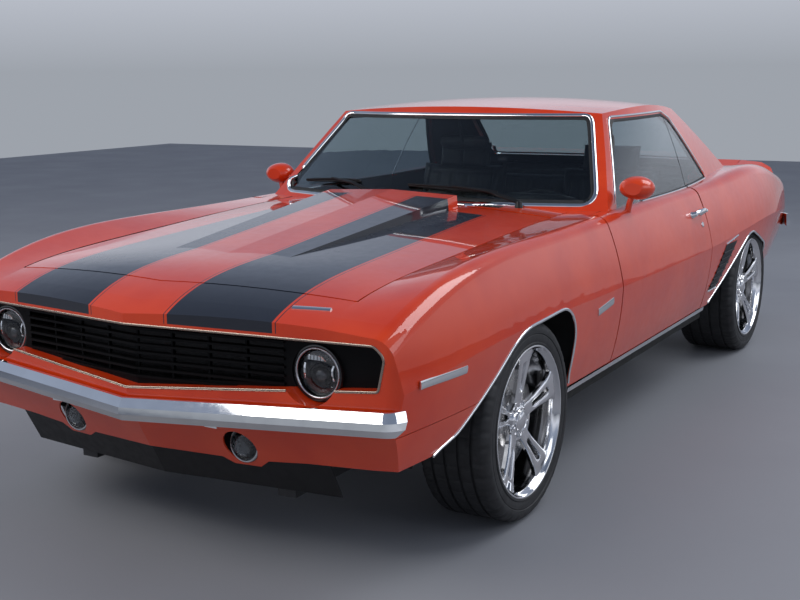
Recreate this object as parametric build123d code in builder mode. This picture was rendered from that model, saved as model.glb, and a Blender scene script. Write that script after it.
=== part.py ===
"""Two-door muscle car of the late 1960s on 18 inch wheels, modelled panel by panel.

Millimetres, +Z up, nose towards -Y, the car's left towards +X. The origin is on the
ground at the middle of the car's length and width.
"""
from build123d import *
from collections import namedtuple
from math import atan2, cos, pi, radians, sin
import os

os.makedirs("parts", exist_ok=True)

# Wheels and axles
front_axle_y = -1427
rear_axle_y = 1316
tyre_radius = 328
tyre_face_x = 905
front_tyre_width = 245
rear_tyre_width = 285
tyre_shoulder = 26
bead_radius = 241
lip_radius = 251
lip_width = 5
barrel_radius = 228
spoke_count = 5
hub_recess = 34
hub_radius = 62
spoke_depth = 26
spoke_slot = 17
disc_radius = 165
disc_width = 26
kingpin_x = 740
ball_joint_height = 112
axle_bore = 16
running_gap = 0.05
seat_gap = 0.3

# Panels
skin = 3
hood_thickness = 12
door_inner_x = 768
door_trim_x = 796
door_trim_z = 800
lid_thickness = 16
panel_gap = 6
hood_half = 655
lid_half = 585
# Wheel openings and wheelhouses seen from the side, as (y, z, corner radius)
front_opening = [
    (-1062, 200, 0),
    (-1070, 658, 140),
    (-1540, 647, 300),
    (-1870, 400, 150),
    (-2040, 345, 0),
    (-2060, 200, 0),
]
rear_opening = [
    (655, 200, 0),
    (655, 342, 12),
    (1230, 634, 180),
    (1620, 510, 90),
    (1668, 345, 30),
    (1668, 200, 0),
]
front_house_outline = [
    (-1026, 200, 0),
    (-1026, 716, 190),
    (-1620, 716, 150),
    (-2075, 425, 40),
    (-2075, 200, 0),
]
rear_house_outline = [
    (612, 200, 0),
    (612, 360, 40),
    (1205, 702, 150),
    (1680, 600, 120),
    (1716, 400, 40),
    (1716, 200, 0),
]
house_low_z = 352
rocker_rear_y = 640
valance_top = 478
valance_seam = 2
valance_bottom = 310
door_bottom = 350
quarter_bottom = 345

# Door shut lines, hinges and swing
fender_rear_y = -625
door_front_y = -617
door_body_y = -602
door_rear_y = 551
quarter_front_y = 557
door_axis_x = 872
door_axis_y = -682
door_lip = 2.5
door_slant = 22

# Nose
nose_tip_y = -2312
nose_slope = 92 / 820
nose_depth = 60
opening_top = 731
opening_bottom_mid = 541
opening_bottom_side = 606
opening_half = 824
hood_front_mid_y = -2141
hood_front_side_y = -2070
hood_rear_y = -713
hood_axis_y = -735
hood_axis_z = 875
cowl_mid_y = -676
cowl_side_y = -700

# Tail
tail_mid_y = 2322
tail_sweep = 82
lid_front_y = 1572
lid_rear_y = 2252
tail_wall = 30

# Hood bulge: width and height at its tip and at its rear
bulge_rear_y = -772
bulge_wall = 10
BulgeSection = namedtuple("BulgeSection", "y half top crease floor")
bulge_sections = [
    BulgeSection(-2100, 214, 796, 4, 730),
    BulgeSection(-1889, 229, 862, 4, 790),
    BulgeSection(bulge_rear_y, 292, 972, 12, 860),
]

# Outlines of the window openings
windshield_low_half = 742
windshield_high_half = 590
windshield_low_z = 925
windshield_high_z = 1254
rear_window_low_half = 610
rear_window_high_half = 505
rear_window_low_z = 968
rear_window_high_z = 1236
window_corner = 34
side_glass_top = 1238
# Side window seen from the side, as (y, z): up the windshield pillar, back along the
# roof rail and down the rear pillar.
side_window = [
    (-420, 860),
    (-82, side_glass_top),
    (600, side_glass_top),
    (690, 1205),
    (850, 1020),
    (1000, 860),
]

# Greenhouse
pillar_wall = 28
glass_inset = 3
glass_thickness = 5
glass_split_top_y = 622
glass_split_belt_y = 548

Section = namedtuple(
    "Section",
    "y rock_x rock_z crease_x crease_z lean_low lean_high peak_x peak_z gap_x gap_z mid_z",
)
# One cross-section of the lower body per line, from nose to tail. rock is the bottom of
# the side, crease its widest point, peak the top of the fender and gap the hood's edge.
# The leans are the side's slope in degrees at the crease and at the shoulder.
body_sections = [
    Section(-2420, 770, 330, 822, 560, 2, 8, 775, 640, 655, 650, 668),
    Section(-2211, 798, 310, 872, 595, 4, 12, 802, 757, 655, 777, 812),
    Section(-1900, 825, 295, 912, 638, 8, 20, 808, 856, 655, 838, 868),
    Section(-1400, 845, 290, 920, 655, 9, 23, 804, 898, 655, 868, 896),
    Section(-620, 852, 290, 917, 642, 9, 23, 800, 902, 655, 900, 930),
    Section(560, 852, 290, 918, 634, 9, 24, 800, 905, 655, 915, 938),
    Section(1316, 845, 290, 930, 665, 10, 26, 790, 932, 625, 926, 945),
    Section(1900, 810, 325, 909, 664, 8, 22, 768, 904, 605, 896, 912),
    Section(2420, 750, 380, 838, 645, 5, 16, 720, 835, 585, 838, 850),
]
side_bulge = 14

Level = namedtuple("Level", "z front_y pillar_x pillar_y side_x side_y rear_x corner_y rear_y")
# One plan outline of the glasshouse per line: the middle of the windshield, its outer
# corner, the widest point of the side, the rear corner and the middle of the rear window.
roof_levels = [
    Level(870, -672, 806, -501, 806, 350, 716, 1585, 1650),
    Level(1090, -432, 710, -288, 722, 350, 655, 1185, 1240),
    Level(1330, -169, 594, -58, 606, 350, 560, 745, 795),
]
Crown = namedtuple("Crown", "y mid_z edge_z")
# The roof panel's top: height in the middle and crown_half out, from front to rear.
roof_crowns = [
    Crown(-700, 1262, 1198),
    Crown(-215, 1290, 1233),
    Crown(300, 1314, 1257),
    Crown(760, 1297, 1235),
    Crown(1250, 1222, 1149),
    Crown(1750, 1120, 1040),
]
crown_half = 820
crown_floor = 800
windshield_spread = 1.45
rear_spread = 2.1


def polar(radius, lean):
    """Offset along a normal that leans inward by an angle from the horizontal."""
    return Vector(radius * cos(lean), radius * sin(lean))


def section_points(section, inset):
    """Points of one half section, with the middle point of each arc."""
    low, high = radians(section.lean_low), radians(section.lean_high)
    rise = section.peak_z - section.gap_z
    top = pi / 2 + atan2(rise, section.peak_x - section.gap_x)
    span_x = section.peak_x - section.crease_x
    span_z = section.peak_z - section.crease_z
    a = cos(high) - cos(low)
    b = cos(top) - cos(high)
    c = sin(high) - sin(low)
    d = sin(top) - sin(high)
    det = a * d - b * c
    flank = (span_x * d - b * span_z) / det - inset
    shoulder = (a * span_z - c * span_x) / det - inset
    crease = Vector(section.crease_x, section.crease_z) - polar(inset, low)
    flank_centre = crease - polar(flank, low)
    joint = flank_centre + polar(flank, high)
    shoulder_centre = joint - polar(shoulder, high)
    peak = shoulder_centre + polar(shoulder, top)
    rock = Vector(section.rock_x - inset, section.rock_z)
    side = (rock + crease) * 0.5 + Vector(side_bulge, 0)
    return [
        rock,
        side,
        crease,
        flank_centre + polar(flank, (low + high) / 2),
        joint,
        shoulder_centre + polar(shoulder, (high + top) / 2),
        peak,
        Vector(section.gap_x, section.gap_z - inset),
        Vector(0, section.mid_z - inset),
    ]


def body_loft(inset, drop):
    """Lower body as one solid, its wall moved in by inset and its floor down by drop."""
    with BuildPart() as envelope:
        for section in body_sections:
            rock, side, crease, flank, joint, bend, peak, edge, mid = section_points(section, inset)
            foot = rock - Vector(0, drop)
            with BuildSketch(Plane.XZ.offset(-section.y)):
                with BuildLine():
                    Line(foot, rock)
                    ThreePointArc(rock, side, crease)
                    ThreePointArc(crease, flank, joint)
                    ThreePointArc(joint, bend, peak)
                    Line(peak, edge)
                    ThreePointArc(edge, mid, Vector(-edge.X, edge.Y))
                    Line(Vector(-edge.X, edge.Y), Vector(-peak.X, peak.Y))
                    ThreePointArc(*[Vector(-p.X, p.Y) for p in (peak, bend, joint)])
                    ThreePointArc(*[Vector(-p.X, p.Y) for p in (joint, flank, crease)])
                    ThreePointArc(*[Vector(-p.X, p.Y) for p in (crease, side, rock)])
                    Line(Vector(-rock.X, rock.Y), Vector(-foot.X, foot.Y))
                    Line(Vector(-foot.X, foot.Y), foot)
                make_face()
        loft()
    return envelope.part


def glass_loft(inset):
    """Glasshouse below the roof panel as one solid, its wall moved in by inset."""
    front = inset * windshield_spread
    rear = inset * rear_spread
    with BuildPart() as envelope:
        for level in roof_levels:
            pillar = Vector(level.pillar_x - inset, level.pillar_y + front)
            corner = Vector(level.rear_x - inset, level.corner_y - rear)
            with BuildSketch(Plane.XY.offset(level.z)):
                with BuildLine():
                    ThreePointArc(Vector(-pillar.X, pillar.Y), (0, level.front_y + front), pillar)
                    ThreePointArc(pillar, (level.side_x - inset, level.side_y), corner)
                    ThreePointArc(corner, (0, level.rear_y - rear), Vector(-corner.X, corner.Y))
                    ThreePointArc(
                        Vector(-corner.X, corner.Y),
                        (inset - level.side_x, level.side_y),
                        Vector(-pillar.X, pillar.Y),
                    )
                make_face()
        loft()
    return envelope.part


def crown_loft(drop):
    """Everything below the roof panel's top surface, which is lowered by drop."""
    with BuildPart() as envelope:
        for crown in roof_crowns:
            edge = crown.edge_z - drop
            with BuildSketch(Plane.XZ.offset(-crown.y)):
                with BuildLine():
                    Line((-crown_half, crown_floor), (crown_half, crown_floor))
                    Line((crown_half, crown_floor), (crown_half, edge))
                    ThreePointArc((crown_half, edge), (0, crown.mid_z - drop), (-crown_half, edge))
                    Line((-crown_half, edge), (-crown_half, crown_floor))
                make_face()
        loft()
    return envelope.part


def glasshouse(inset):
    """Glasshouse and roof together as one solid, moved in by inset all round."""
    walls = glass_loft(inset)
    crown = crown_loft(inset)
    with BuildPart() as cabin:
        add(walls)
        add(crown, mode=Mode.INTERSECT)
    return cabin.part


def side_prism(outline, x_low, x_high):
    """Solid between two x with an outline of (y, z) points as seen from the side."""
    with BuildPart() as prism:
        with BuildSketch(Plane.YZ.offset(x_low)):
            with BuildLine():
                Polyline(*outline, close=True)
            make_face()
        extrude(amount=x_high - x_low)
    return prism.part


def plan_prism(outline, z_low, z_high):
    """Solid between two z with an outline of (x, y) points as seen from above."""
    with BuildPart() as prism:
        with BuildSketch(Plane.XY.offset(z_low)):
            with BuildLine():
                Polyline(*outline, close=True)
            make_face()
        extrude(amount=z_high - z_low)
    return prism.part


def front_prism(outline, y_low, y_high, corner=0, spread=0):
    """Solid between two y with an outline of (x, z) points, rounded and offset."""
    with BuildPart() as prism:
        with BuildSketch(Plane.XZ.offset(-y_low)) as face:
            with BuildLine():
                Polyline(*outline, close=True)
            make_face()
            if corner:
                fillet(face.vertices(), corner)
            if spread:
                offset(amount=spread, mode=Mode.REPLACE)
        extrude(amount=y_low - y_high)
    return prism.part


def block(x_low, x_high, y_low, y_high, z_low, z_high):
    """Box between two corners."""
    with BuildPart() as box:
        with BuildSketch(Plane.XY.offset(z_low)):
            with Locations(((x_low + x_high) / 2, (y_low + y_high) / 2)):
                Rectangle(x_high - x_low, y_high - y_low)
        extrude(amount=z_high - z_low)
    return box.part


def cross_cylinder(radius, y, z, x_low, x_high):
    """Cylinder along X."""
    with BuildPart() as cylinder:
        with BuildSketch(Plane.YZ.offset(x_low)):
            with Locations((y, z)):
                Circle(radius)
        extrude(amount=x_high - x_low)
    return cylinder.part


def opening_prism(outline, x_low, x_high, spread=0):
    """Solid between two x with (y, z, radius) corners, rounded and then grown by spread."""
    with BuildPart() as prism:
        with BuildSketch(Plane.YZ.offset(x_low)) as face:
            with BuildLine():
                Polyline(*[(y, z) for y, z, radius in outline], close=True)
            make_face()
            for y, z, radius in outline:
                if radius:
                    corner = Vector(y, z)
                    fillet(face.vertices().sort_by_distance(corner)[0], radius)
            if spread:
                offset(amount=spread, mode=Mode.REPLACE)
        extrude(amount=x_high - x_low)
    return prism.part


def long_cylinder(radius, x, z, y_low, y_high):
    """Cylinder along Y."""
    with BuildPart() as cylinder:
        with BuildSketch(Plane.XZ.offset(-y_low)):
            with Locations((x, z)):
                Circle(radius)
        extrude(amount=y_low - y_high)
    return cylinder.part


def upright_cylinder(radius, x, y, z_low, z_high):
    """Cylinder along Z."""
    with BuildPart() as cylinder:
        with BuildSketch(Plane.XY.offset(z_low)):
            with Locations((x, y)):
                Circle(radius)
        extrude(amount=z_high - z_low)
    return cylinder.part


def both_sides(part):
    """The part and its mirror image across the car's middle plane."""
    with BuildPart() as pair:
        add(part)
        mirror(about=Plane.YZ)
    return pair.part


def combine(base, added=(), cut=(), kept=()):
    """Join, cut and intersect whole solids, in that order."""
    with BuildPart() as result:
        add(base)
        for piece in added:
            add(piece)
        for piece in cut:
            add(piece, mode=Mode.SUBTRACT)
        for piece in kept:
            add(piece, mode=Mode.INTERSECT)
    return result.part


def save(part, name):
    """Label a finished piece and write its file."""
    part.label = name
    export_step(part, f"parts/{name}.step")


# Envelopes that the panels are cut from
body_outer = body_loft(0, 10)
body_skin = combine(body_outer, cut=[body_loft(skin, 100)])
cabin_outer = glasshouse(0)
cabin_inner = glasshouse(pillar_wall)


# Hood with its raised middle
hood_outline = [
    (0, hood_front_mid_y),
    (hood_half, hood_front_side_y),
    (hood_half, hood_rear_y),
    (-hood_half, hood_rear_y),
    (-hood_half, hood_front_side_y),
]


def bulge_loft(wall):
    """Wedge that rises from the hood towards the windshield, moved in by wall."""
    with BuildPart() as wedge:
        for y, half, top, crease, floor in bulge_sections:
            with BuildSketch(Plane.XZ.offset(-y + (wall if y == bulge_rear_y else 0))):
                with BuildLine():
                    Polyline(
                        (-half - 12 + wall, floor - wall),
                        (half + 12 - wall, floor - wall),
                        (half - wall, top - wall),
                        (0, top + crease - wall),
                        (wall - half, top - wall),
                        close=True,
                    )
                make_face()
        loft(ruled=True)
    return wedge.part


hood_shell = combine(body_outer, cut=[body_loft(hood_thickness, 100)])
hood = combine(
    hood_shell,
    kept=[plan_prism(hood_outline, 600, 1100)],
)
bulge = combine(bulge_loft(0), cut=[body_loft(hood_thickness, 100)])
hood_hinge_x = 604
hood_ear_radius = 7
hood_pin_radius = 4
hood_lug = 12


def hood_lug_solid():
    """Lug under the hood that turns on its hinge pin."""
    with BuildPart() as lug:
        with BuildSketch(Plane.YZ.offset(hood_hinge_x - hood_lug / 2)):
            with Locations((hood_axis_y, hood_axis_z)):
                Circle(hood_ear_radius)
            with Locations((hood_axis_y, hood_axis_z + 8)):
                Rectangle(2 * hood_ear_radius, 16)
            with Locations((hood_axis_y, hood_axis_z)):
                Circle(hood_pin_radius + running_gap, mode=Mode.SUBTRACT)
        extrude(amount=hood_lug)
    return combine(lug.part, kept=[body_outer])


hood_lugs = both_sides(hood_lug_solid())
hood = combine(hood, added=[bulge, hood_lugs], cut=[bulge_loft(bulge_wall)])
save(hood, "hood")

# Front fenders: the skin beside the hood, back to the door, less the wheel arch
fender_side = [
    (-2420, valance_top + valance_seam),
    (front_axle_y, valance_top + valance_seam),
    (front_axle_y, door_bottom),
    (fender_rear_y, door_bottom),
    (fender_rear_y, 1100),
    (-2420, 1100),
]
nose_corner_x = 876
nose_corner_y = nose_tip_y + nose_corner_x * nose_slope
nose_corner_radius = 55


def nose_limit():
    """Everything behind the swept nose, whose corners are rounded in plan."""
    with BuildPart() as limit:
        with BuildSketch(Plane.XY.offset(200)) as plan:
            with BuildLine():
                Polyline(
                    (0, nose_tip_y),
                    (nose_corner_x, nose_corner_y),
                    (1000, front_axle_y),
                    (1000, fender_rear_y),
                    (-1000, fender_rear_y),
                    (-1000, front_axle_y),
                    (-nose_corner_x, nose_corner_y),
                    close=True,
                )
            make_face()
            fillet(plan.vertices().group_by(Axis.Y)[1], nose_corner_radius)
        extrude(amount=1000)
    return limit.part


behind_nose = nose_limit()
headlamp_x = 604
headlamp_z = 630
headlamp_y = -2186
bezel_radius = 81
front_arch = opening_prism(front_opening, 600, 1000)
nose_block = plan_prism(
    [
        (0, nose_tip_y),
        (1000, nose_tip_y + 1000 * nose_slope),
        (1000, nose_tip_y + 1000 * nose_slope + nose_depth),
        (0, nose_tip_y + nose_depth),
        (-1000, nose_tip_y + 1000 * nose_slope + nose_depth),
        (-1000, nose_tip_y + 1000 * nose_slope),
    ],
    valance_top + valance_seam,
    1000,
)
opening_outline = [
    (0, opening_bottom_mid),
    (opening_half - 12, opening_bottom_side),
    (opening_half + 8, opening_top - 30),
    (opening_half - 22, opening_top),
    (22 - opening_half, opening_top),
    (-opening_half - 8, opening_top - 30),
    (12 - opening_half, opening_bottom_side),
]
lamp_scallops = [
    long_cylinder(bezel_radius + 3, x, headlamp_z, -2400, -2000) for x in (-headlamp_x, headlamp_x)
]
grille_opening = combine(front_prism(opening_outline, -2400, -2000), added=lamp_scallops)
fender_rear_limit = side_prism(fender_side, hood_half + panel_gap, 1000)
front_fenders = combine(
    body_skin,
    kept=[combine(fender_rear_limit, cut=[front_arch, nose_block, grille_opening])],
)
front_fenders = combine(front_fenders, kept=[behind_nose])
front_fenders = combine(front_fenders, cut=[cabin_inner])
front_fenders = both_sides(front_fenders)
save(front_fenders, "front_fenders")

# Nose panel: the header ahead of the hood and the frame round the grille opening
header_plan = [
    (0, nose_tip_y),
    (hood_half + panel_gap, nose_tip_y + (hood_half + panel_gap) * nose_slope),
    (hood_half + panel_gap, hood_front_side_y - panel_gap),
    (0, hood_front_mid_y - panel_gap),
    (-hood_half - panel_gap, hood_front_side_y - panel_gap),
    (-hood_half - panel_gap, nose_tip_y + (hood_half + panel_gap) * nose_slope),
]
header = combine(body_skin, kept=[plan_prism(header_plan, 700, 1000)])
nose_frame = combine(body_outer, kept=[nose_block])
nose_panel = combine(nose_frame, added=[header], cut=[grille_opening], kept=[behind_nose])
save(nose_panel, "nose_panel")

# Valance below the front bumper, leaning back towards the ground
valance_lean = 91
valance_wall = 6
valance_profile = [
    (nose_tip_y + 10, valance_top),
    (nose_tip_y + 10 + valance_lean, valance_bottom),
    (nose_tip_y + 10 + valance_lean + valance_wall, valance_bottom),
    (nose_tip_y + 10 + valance_wall, valance_top),
]
with BuildPart() as valance_face:
    with BuildSketch(Plane.YZ):
        with BuildLine():
            Polyline(*valance_profile, close=True)
        make_face()
    extrude(amount=1000 * (1 + nose_slope**2) ** 0.5, dir=(1, nose_slope, 0))
with BuildPart() as valance_front:
    with BuildSketch(Plane.YZ):
        with BuildLine():
            Polyline(
                (nose_tip_y - 500, valance_top),
                (nose_tip_y + 10, valance_top),
                (nose_tip_y + 10 + valance_lean, valance_bottom),
                (nose_tip_y - 500, valance_bottom),
                close=True,
            )
        make_face()
    extrude(amount=1000 * (1 + nose_slope**2) ** 0.5, dir=(1, nose_slope, 0))
valance_side = combine(
    body_skin,
    kept=[block(600, 1000, -2420, front_axle_y, valance_bottom, valance_top)],
)
valance_side = combine(valance_side, cut=[valance_front.part, front_arch])
valance_middle = combine(
    body_outer, kept=[combine(valance_face.part, kept=[block(0, 1000, -2420, -2000, 0, 600)])]
)
lamp_port_x = 334
lamp_port_z = 379
lamp_port_radius = 54
lamp_port = long_cylinder(lamp_port_radius, lamp_port_x, lamp_port_z, -2400, -2100)
# Lower edge of the valance seen from the front, as (x, z): it dips round each lamp.
valance_edge = [
    (0, 336),
    (255, 334),
    (290, 314),
    (378, 314),
    (412, 338),
    (543, 350),
    (750, 358),
    (860, 367),
    (1000, 376),
    (1000, 700),
    (0, 700),
]
front_valance = combine(
    valance_middle,
    added=[valance_side],
    cut=[lamp_port],
    kept=[combine(front_prism(valance_edge, -2400, front_axle_y), kept=[behind_nose])],
)
front_valance = both_sides(front_valance)
save(front_valance, "front_valance")


# Roof panel with the windshield and rear pillars
windshield_outline = [
    (-windshield_low_half, windshield_low_z),
    (windshield_low_half, windshield_low_z),
    (windshield_high_half, windshield_high_z),
    (-windshield_high_half, windshield_high_z),
]
rear_window_outline = [
    (-rear_window_low_half, rear_window_low_z),
    (rear_window_low_half, rear_window_low_z),
    (rear_window_high_half, rear_window_high_z),
    (-rear_window_high_half, rear_window_high_z),
]


def window_prism(outline, y_low, y_high, spread):
    """Opening or pane outline seen from the front, grown or shrunk by spread."""
    return front_prism(outline, y_low, y_high, window_corner, spread)


def side_window_prism(spread):
    """Side window outline through both sides of the car, grown by spread."""
    with BuildPart() as prism:
        with BuildSketch(Plane.YZ.offset(-1000)) as face:
            with BuildLine():
                Polyline(*side_window, close=True)
            make_face()
            fillet(face.vertices().group_by(Axis.Y)[-2], 40)
            if spread:
                offset(amount=spread, mode=Mode.REPLACE)
        extrude(amount=2000)
    return prism.part


roof = combine(
    cabin_outer,
    cut=[
        cabin_inner,
        body_outer,
        window_prism(windshield_outline, -900, 200, 0),
        window_prism(rear_window_outline, 700, 1800, 0),
        side_window_prism(0),
    ],
)
save(roof, "roof")

# Glass: one layer of the glasshouse wall, cut by each window
glass_layer = combine(
    glasshouse(glass_inset),
    cut=[glasshouse(glass_inset + glass_thickness), body_outer],
)
windshield = combine(
    glass_layer, kept=[window_prism(windshield_outline, -900, 200, -seat_gap)]
)
rear_window = combine(
    glass_layer, kept=[window_prism(rear_window_outline, 700, 1800, -seat_gap)]
)
belt_z = 903
split_run = (glass_split_top_y - glass_split_belt_y) / (side_glass_top - belt_z)


def split_y(z):
    """Where the door glass meets the rear quarter glass at a height."""
    return glass_split_belt_y + split_run * (z - belt_z)


quarter_side = [
    (split_y(800) + panel_gap, 800),
    (split_y(1300) + panel_gap, 1300),
    (1500, 1300),
    (1500, 800),
]
quarter_glass = combine(
    glass_layer,
    kept=[combine(side_window_prism(-seat_gap), kept=[side_prism(quarter_side, -1000, 1000)])],
)
fixed_glass = combine(windshield, added=[rear_window, quarter_glass])
save(fixed_glass, "fixed_glass")

# Door glass, which stands in a slot along the top of the door
door_glass_side = [(-600, 800), (split_y(800), 800), (split_y(1300), 1300), (-600, 1300)]
glass_root = 24
glass_full = combine(
    glasshouse(glass_inset), cut=[glasshouse(glass_inset + glass_thickness)]
)
door_glass_outline = combine(
    side_window_prism(-panel_gap),
    kept=[side_prism(door_glass_side, 0, 1000), block(0, 1000, -600, 700, belt_z - glass_root, 1400)],
)
door_glass_left = combine(glass_full, kept=[door_glass_outline])
glass_slot = combine(
    glasshouse(glass_inset - seat_gap),
    cut=[glasshouse(glass_inset + glass_thickness + seat_gap)],
    kept=[block(0, 1000, -600, 700, belt_z - glass_root - seat_gap, 1400)],
)
save(door_glass_left, "door_glass_left")
save(mirror(door_glass_left, about=Plane.YZ), "door_glass_right")

# Doors: a block as thick as the whole door behind a thin front lip
door_block = combine(
    body_outer,
    kept=[side_prism(
        [
            (door_body_y, door_bottom),
            (door_rear_y, door_bottom),
            (door_rear_y, 1000),
            (door_body_y, 1000),
        ],
        door_inner_x,
        1000,
    )],
)
door_slant_cut = plan_prism(
    [
        (950, door_rear_y + 8),
        (950, door_rear_y + 40),
        (700, door_rear_y + 40),
        (700, door_rear_y - door_slant - 12),
    ],
    200,
    1100,
)
door_inner_face = front_prism(
    [
        (door_inner_x - 200, 200),
        (door_trim_x, 200),
        (door_trim_x, door_trim_z),
        (door_inner_x, belt_z - glass_root - 20),
        (door_inner_x - 200, belt_z - glass_root - 20),
    ],
    -900,
    900,
)
door_block = combine(door_block, cut=[door_inner_face, door_slant_cut, glass_slot])
door_edge = combine(
    body_outer,
    cut=[body_loft(door_lip, 100)],
    kept=[side_prism(
        [
            (door_front_y, door_bottom),
            (door_body_y + 4, door_bottom),
            (door_body_y + 4, 1000),
            (door_front_y, 1000),
        ],
        door_inner_x + 40,
        1000,
    )],
)

# Gooseneck arms that carry the door on its two pins
hinge_levels = [455, 745]
hinge_height = 46
hinge_pin_radius = 6
hinge_boss_radius = 13
arm_knee = (-59, 39)
arm_wrist = (-42, 92)
arm_width = 11


def hinge_arm(z):
    """Arm from the hinge pin round the fender's edge to the front of the door."""
    knee = (door_axis_x + arm_knee[0], door_axis_y + arm_knee[1])
    wrist = (door_axis_x + arm_wrist[0], door_axis_y + arm_wrist[1])
    with BuildPart() as arm:
        with BuildSketch(Plane.XY.offset(z - hinge_height / 2)):
            with BuildLine() as route:
                FilletPolyline((door_axis_x, door_axis_y), knee, wrist, radius=14)
            trace(route.line, line_width=arm_width)
            with Locations((door_axis_x, door_axis_y)):
                Circle(hinge_boss_radius)
                Circle(hinge_pin_radius + running_gap, mode=Mode.SUBTRACT)
        extrude(amount=hinge_height)
    return arm.part


door_left = combine(door_block, added=[door_edge] + [hinge_arm(z) for z in hinge_levels])
save(door_left, "door_left")
save(mirror(door_left, about=Plane.YZ), "door_right")


# Cowl panel between the hood and the windshield, from fender to fender
cowl_front = [(hood_half, cowl_side_y), (0, cowl_mid_y), (-hood_half, cowl_side_y)]
cowl_rear_y = -440
cowl_plan = cowl_front + [(-hood_half, cowl_rear_y), (hood_half, cowl_rear_y)]
cowl_panel = combine(body_skin, kept=[plan_prism(cowl_plan, 800, 1000)])
cowl_panel = combine(cowl_panel, cut=[cabin_inner])
save(cowl_panel, "cowl_panel")

# Rear quarter panels, joined behind the rear window
quarter_outline = [
    (quarter_front_y, quarter_bottom),
    (rear_axle_y, quarter_bottom),
    (rear_opening[-1][0] - 10, quarter_bottom + 50),
    (2420, quarter_bottom + 60),
    (2420, 1100),
    (quarter_front_y, 1100),
]
tail_arc = [(-1000, tail_mid_y - tail_sweep), (0, tail_mid_y), (1000, tail_mid_y - tail_sweep)]


def tail_prism(y_shift_front, y_shift_rear, z_low, z_high):
    """Band that follows the curve of the tail, between two distances ahead of it."""
    with BuildPart() as band:
        with BuildSketch(Plane.XY.offset(z_low)):
            with BuildLine():
                rear = ThreePointArc(*[(x, y + y_shift_rear) for x, y in tail_arc])
                front = ThreePointArc(*[(x, y + y_shift_front) for x, y in tail_arc])
                Line(rear @ 0, front @ 0)
                Line(rear @ 1, front @ 1)
            make_face()
        extrude(amount=z_high - z_low)
    return band.part


lid_front_gap = 12
lid_plan = [
    (-lid_half - panel_gap, lid_front_y - lid_front_gap),
    (lid_half + panel_gap, lid_front_y - lid_front_gap),
    (lid_half + panel_gap, 2500),
    (-lid_half - panel_gap, 2500),
]
rear_arch = opening_prism(rear_opening, 500, 1000)
rear_arches = both_sides(rear_arch)
lid_opening = plan_prism(lid_plan, 700, 1100)
quarter_panels = combine(body_skin, kept=[side_prism(quarter_outline, -1000, 1000)])
tail_corner_radius = 60
tail_corner_x = 868


def tail_limit():
    """Everything ahead of the curved tail, whose corners are rounded in plan."""
    with BuildPart() as limit:
        with BuildSketch(Plane.XY.offset(200)) as plan:
            with BuildLine():
                corner_y = tail_mid_y - tail_sweep * (tail_corner_x / 1000) ** 2
                ThreePointArc((-tail_corner_x, corner_y), (0, tail_mid_y), (tail_corner_x, corner_y))
                Polyline(
                    (tail_corner_x, corner_y),
                    (1000, rear_axle_y),
                    (1000, 0),
                    (-1000, 0),
                    (-1000, rear_axle_y),
                    (-tail_corner_x, corner_y),
                )
            make_face()
            fillet(plan.vertices().group_by(Axis.Y)[-1], tail_corner_radius)
        extrude(amount=1000)
    return limit.part


ahead_of_tail = tail_limit()
quarter_panels = combine(
    quarter_panels,
    cut=[lid_opening, rear_arches, cabin_inner, tail_prism(-tail_wall, 300, 200, 1200)],
    kept=[ahead_of_tail],
)
save(quarter_panels, "quarter_panels")

# Trunk lid
lid_shell = combine(body_outer, cut=[body_loft(lid_thickness, 100)])
lid_edge = [
    (-lid_half, lid_front_y),
    (lid_half, lid_front_y),
    (lid_half, lid_rear_y),
    (-lid_half, lid_rear_y),
]
lid_axis_y = lid_front_y - 120
lid_axis_z = 890
lid_hinge_x = 480
lid_arm_width = 12
lid_arm_depth = 10
lid_pin_radius = 5
lid_boss_radius = 11
# Gooseneck arm seen from the side, from the pin down and back up to the lid
lid_arm_route = [(0, 0), (80, -108), (150, -30), (150, 32)]


def lid_arm():
    """Curved arm that carries the trunk lid on its pin."""
    points = [(lid_axis_y + y, lid_axis_z + z) for y, z in lid_arm_route]
    with BuildPart() as arm:
        with BuildSketch(Plane.YZ.offset(lid_hinge_x - lid_arm_depth / 2)):
            with BuildLine() as route:
                FilletPolyline(*points, radius=26)
            trace(route.line, line_width=lid_arm_width)
            with Locations((lid_axis_y, lid_axis_z)):
                Circle(lid_boss_radius)
                Circle(lid_pin_radius + running_gap, mode=Mode.SUBTRACT)
        extrude(amount=lid_arm_depth)
    return arm.part


trunk_lid = combine(lid_shell, kept=[plan_prism(lid_edge, 700, 1100)])
trunk_lid = combine(trunk_lid, added=[both_sides(lid_arm())])
save(trunk_lid, "trunk_lid")

# Tail panel under the lid, with the tail lamps seated on it
tail_bottom = 360
tail_panel = combine(
    body_outer,
    kept=[tail_prism(-tail_wall, 0, tail_bottom, 1000), ahead_of_tail],
)
tail_panel = combine(
    tail_panel,
    cut=[block(-lid_half - panel_gap, lid_half + panel_gap, 2200, lid_rear_y + panel_gap, 780, 1000)],
)
save(tail_panel, "tail_panel")

lamp_inner_x = 330
lamp_outer_x = 770
lamp_low_z = 640
lamp_high_z = 735
lamp_depth = 12
tail_lamp = combine(
    tail_prism(seat_gap, lamp_depth, 500, 900),
    kept=[front_prism(
        [
            (lamp_inner_x, lamp_low_z),
            (lamp_outer_x, lamp_low_z),
            (lamp_outer_x, lamp_high_z),
            (lamp_inner_x, lamp_high_z),
        ],
        2000,
        2500,
        14,
    )],
)
tail_lamps = both_sides(tail_lamp)
save(tail_lamps, "tail_lamps")

# Spoiler along the rear edge of the lid
spoiler_profile = [(2090, 872), (2165, 880), (2262, 906), (2268, 896), (2252, 840), (2090, 840)]
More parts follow.
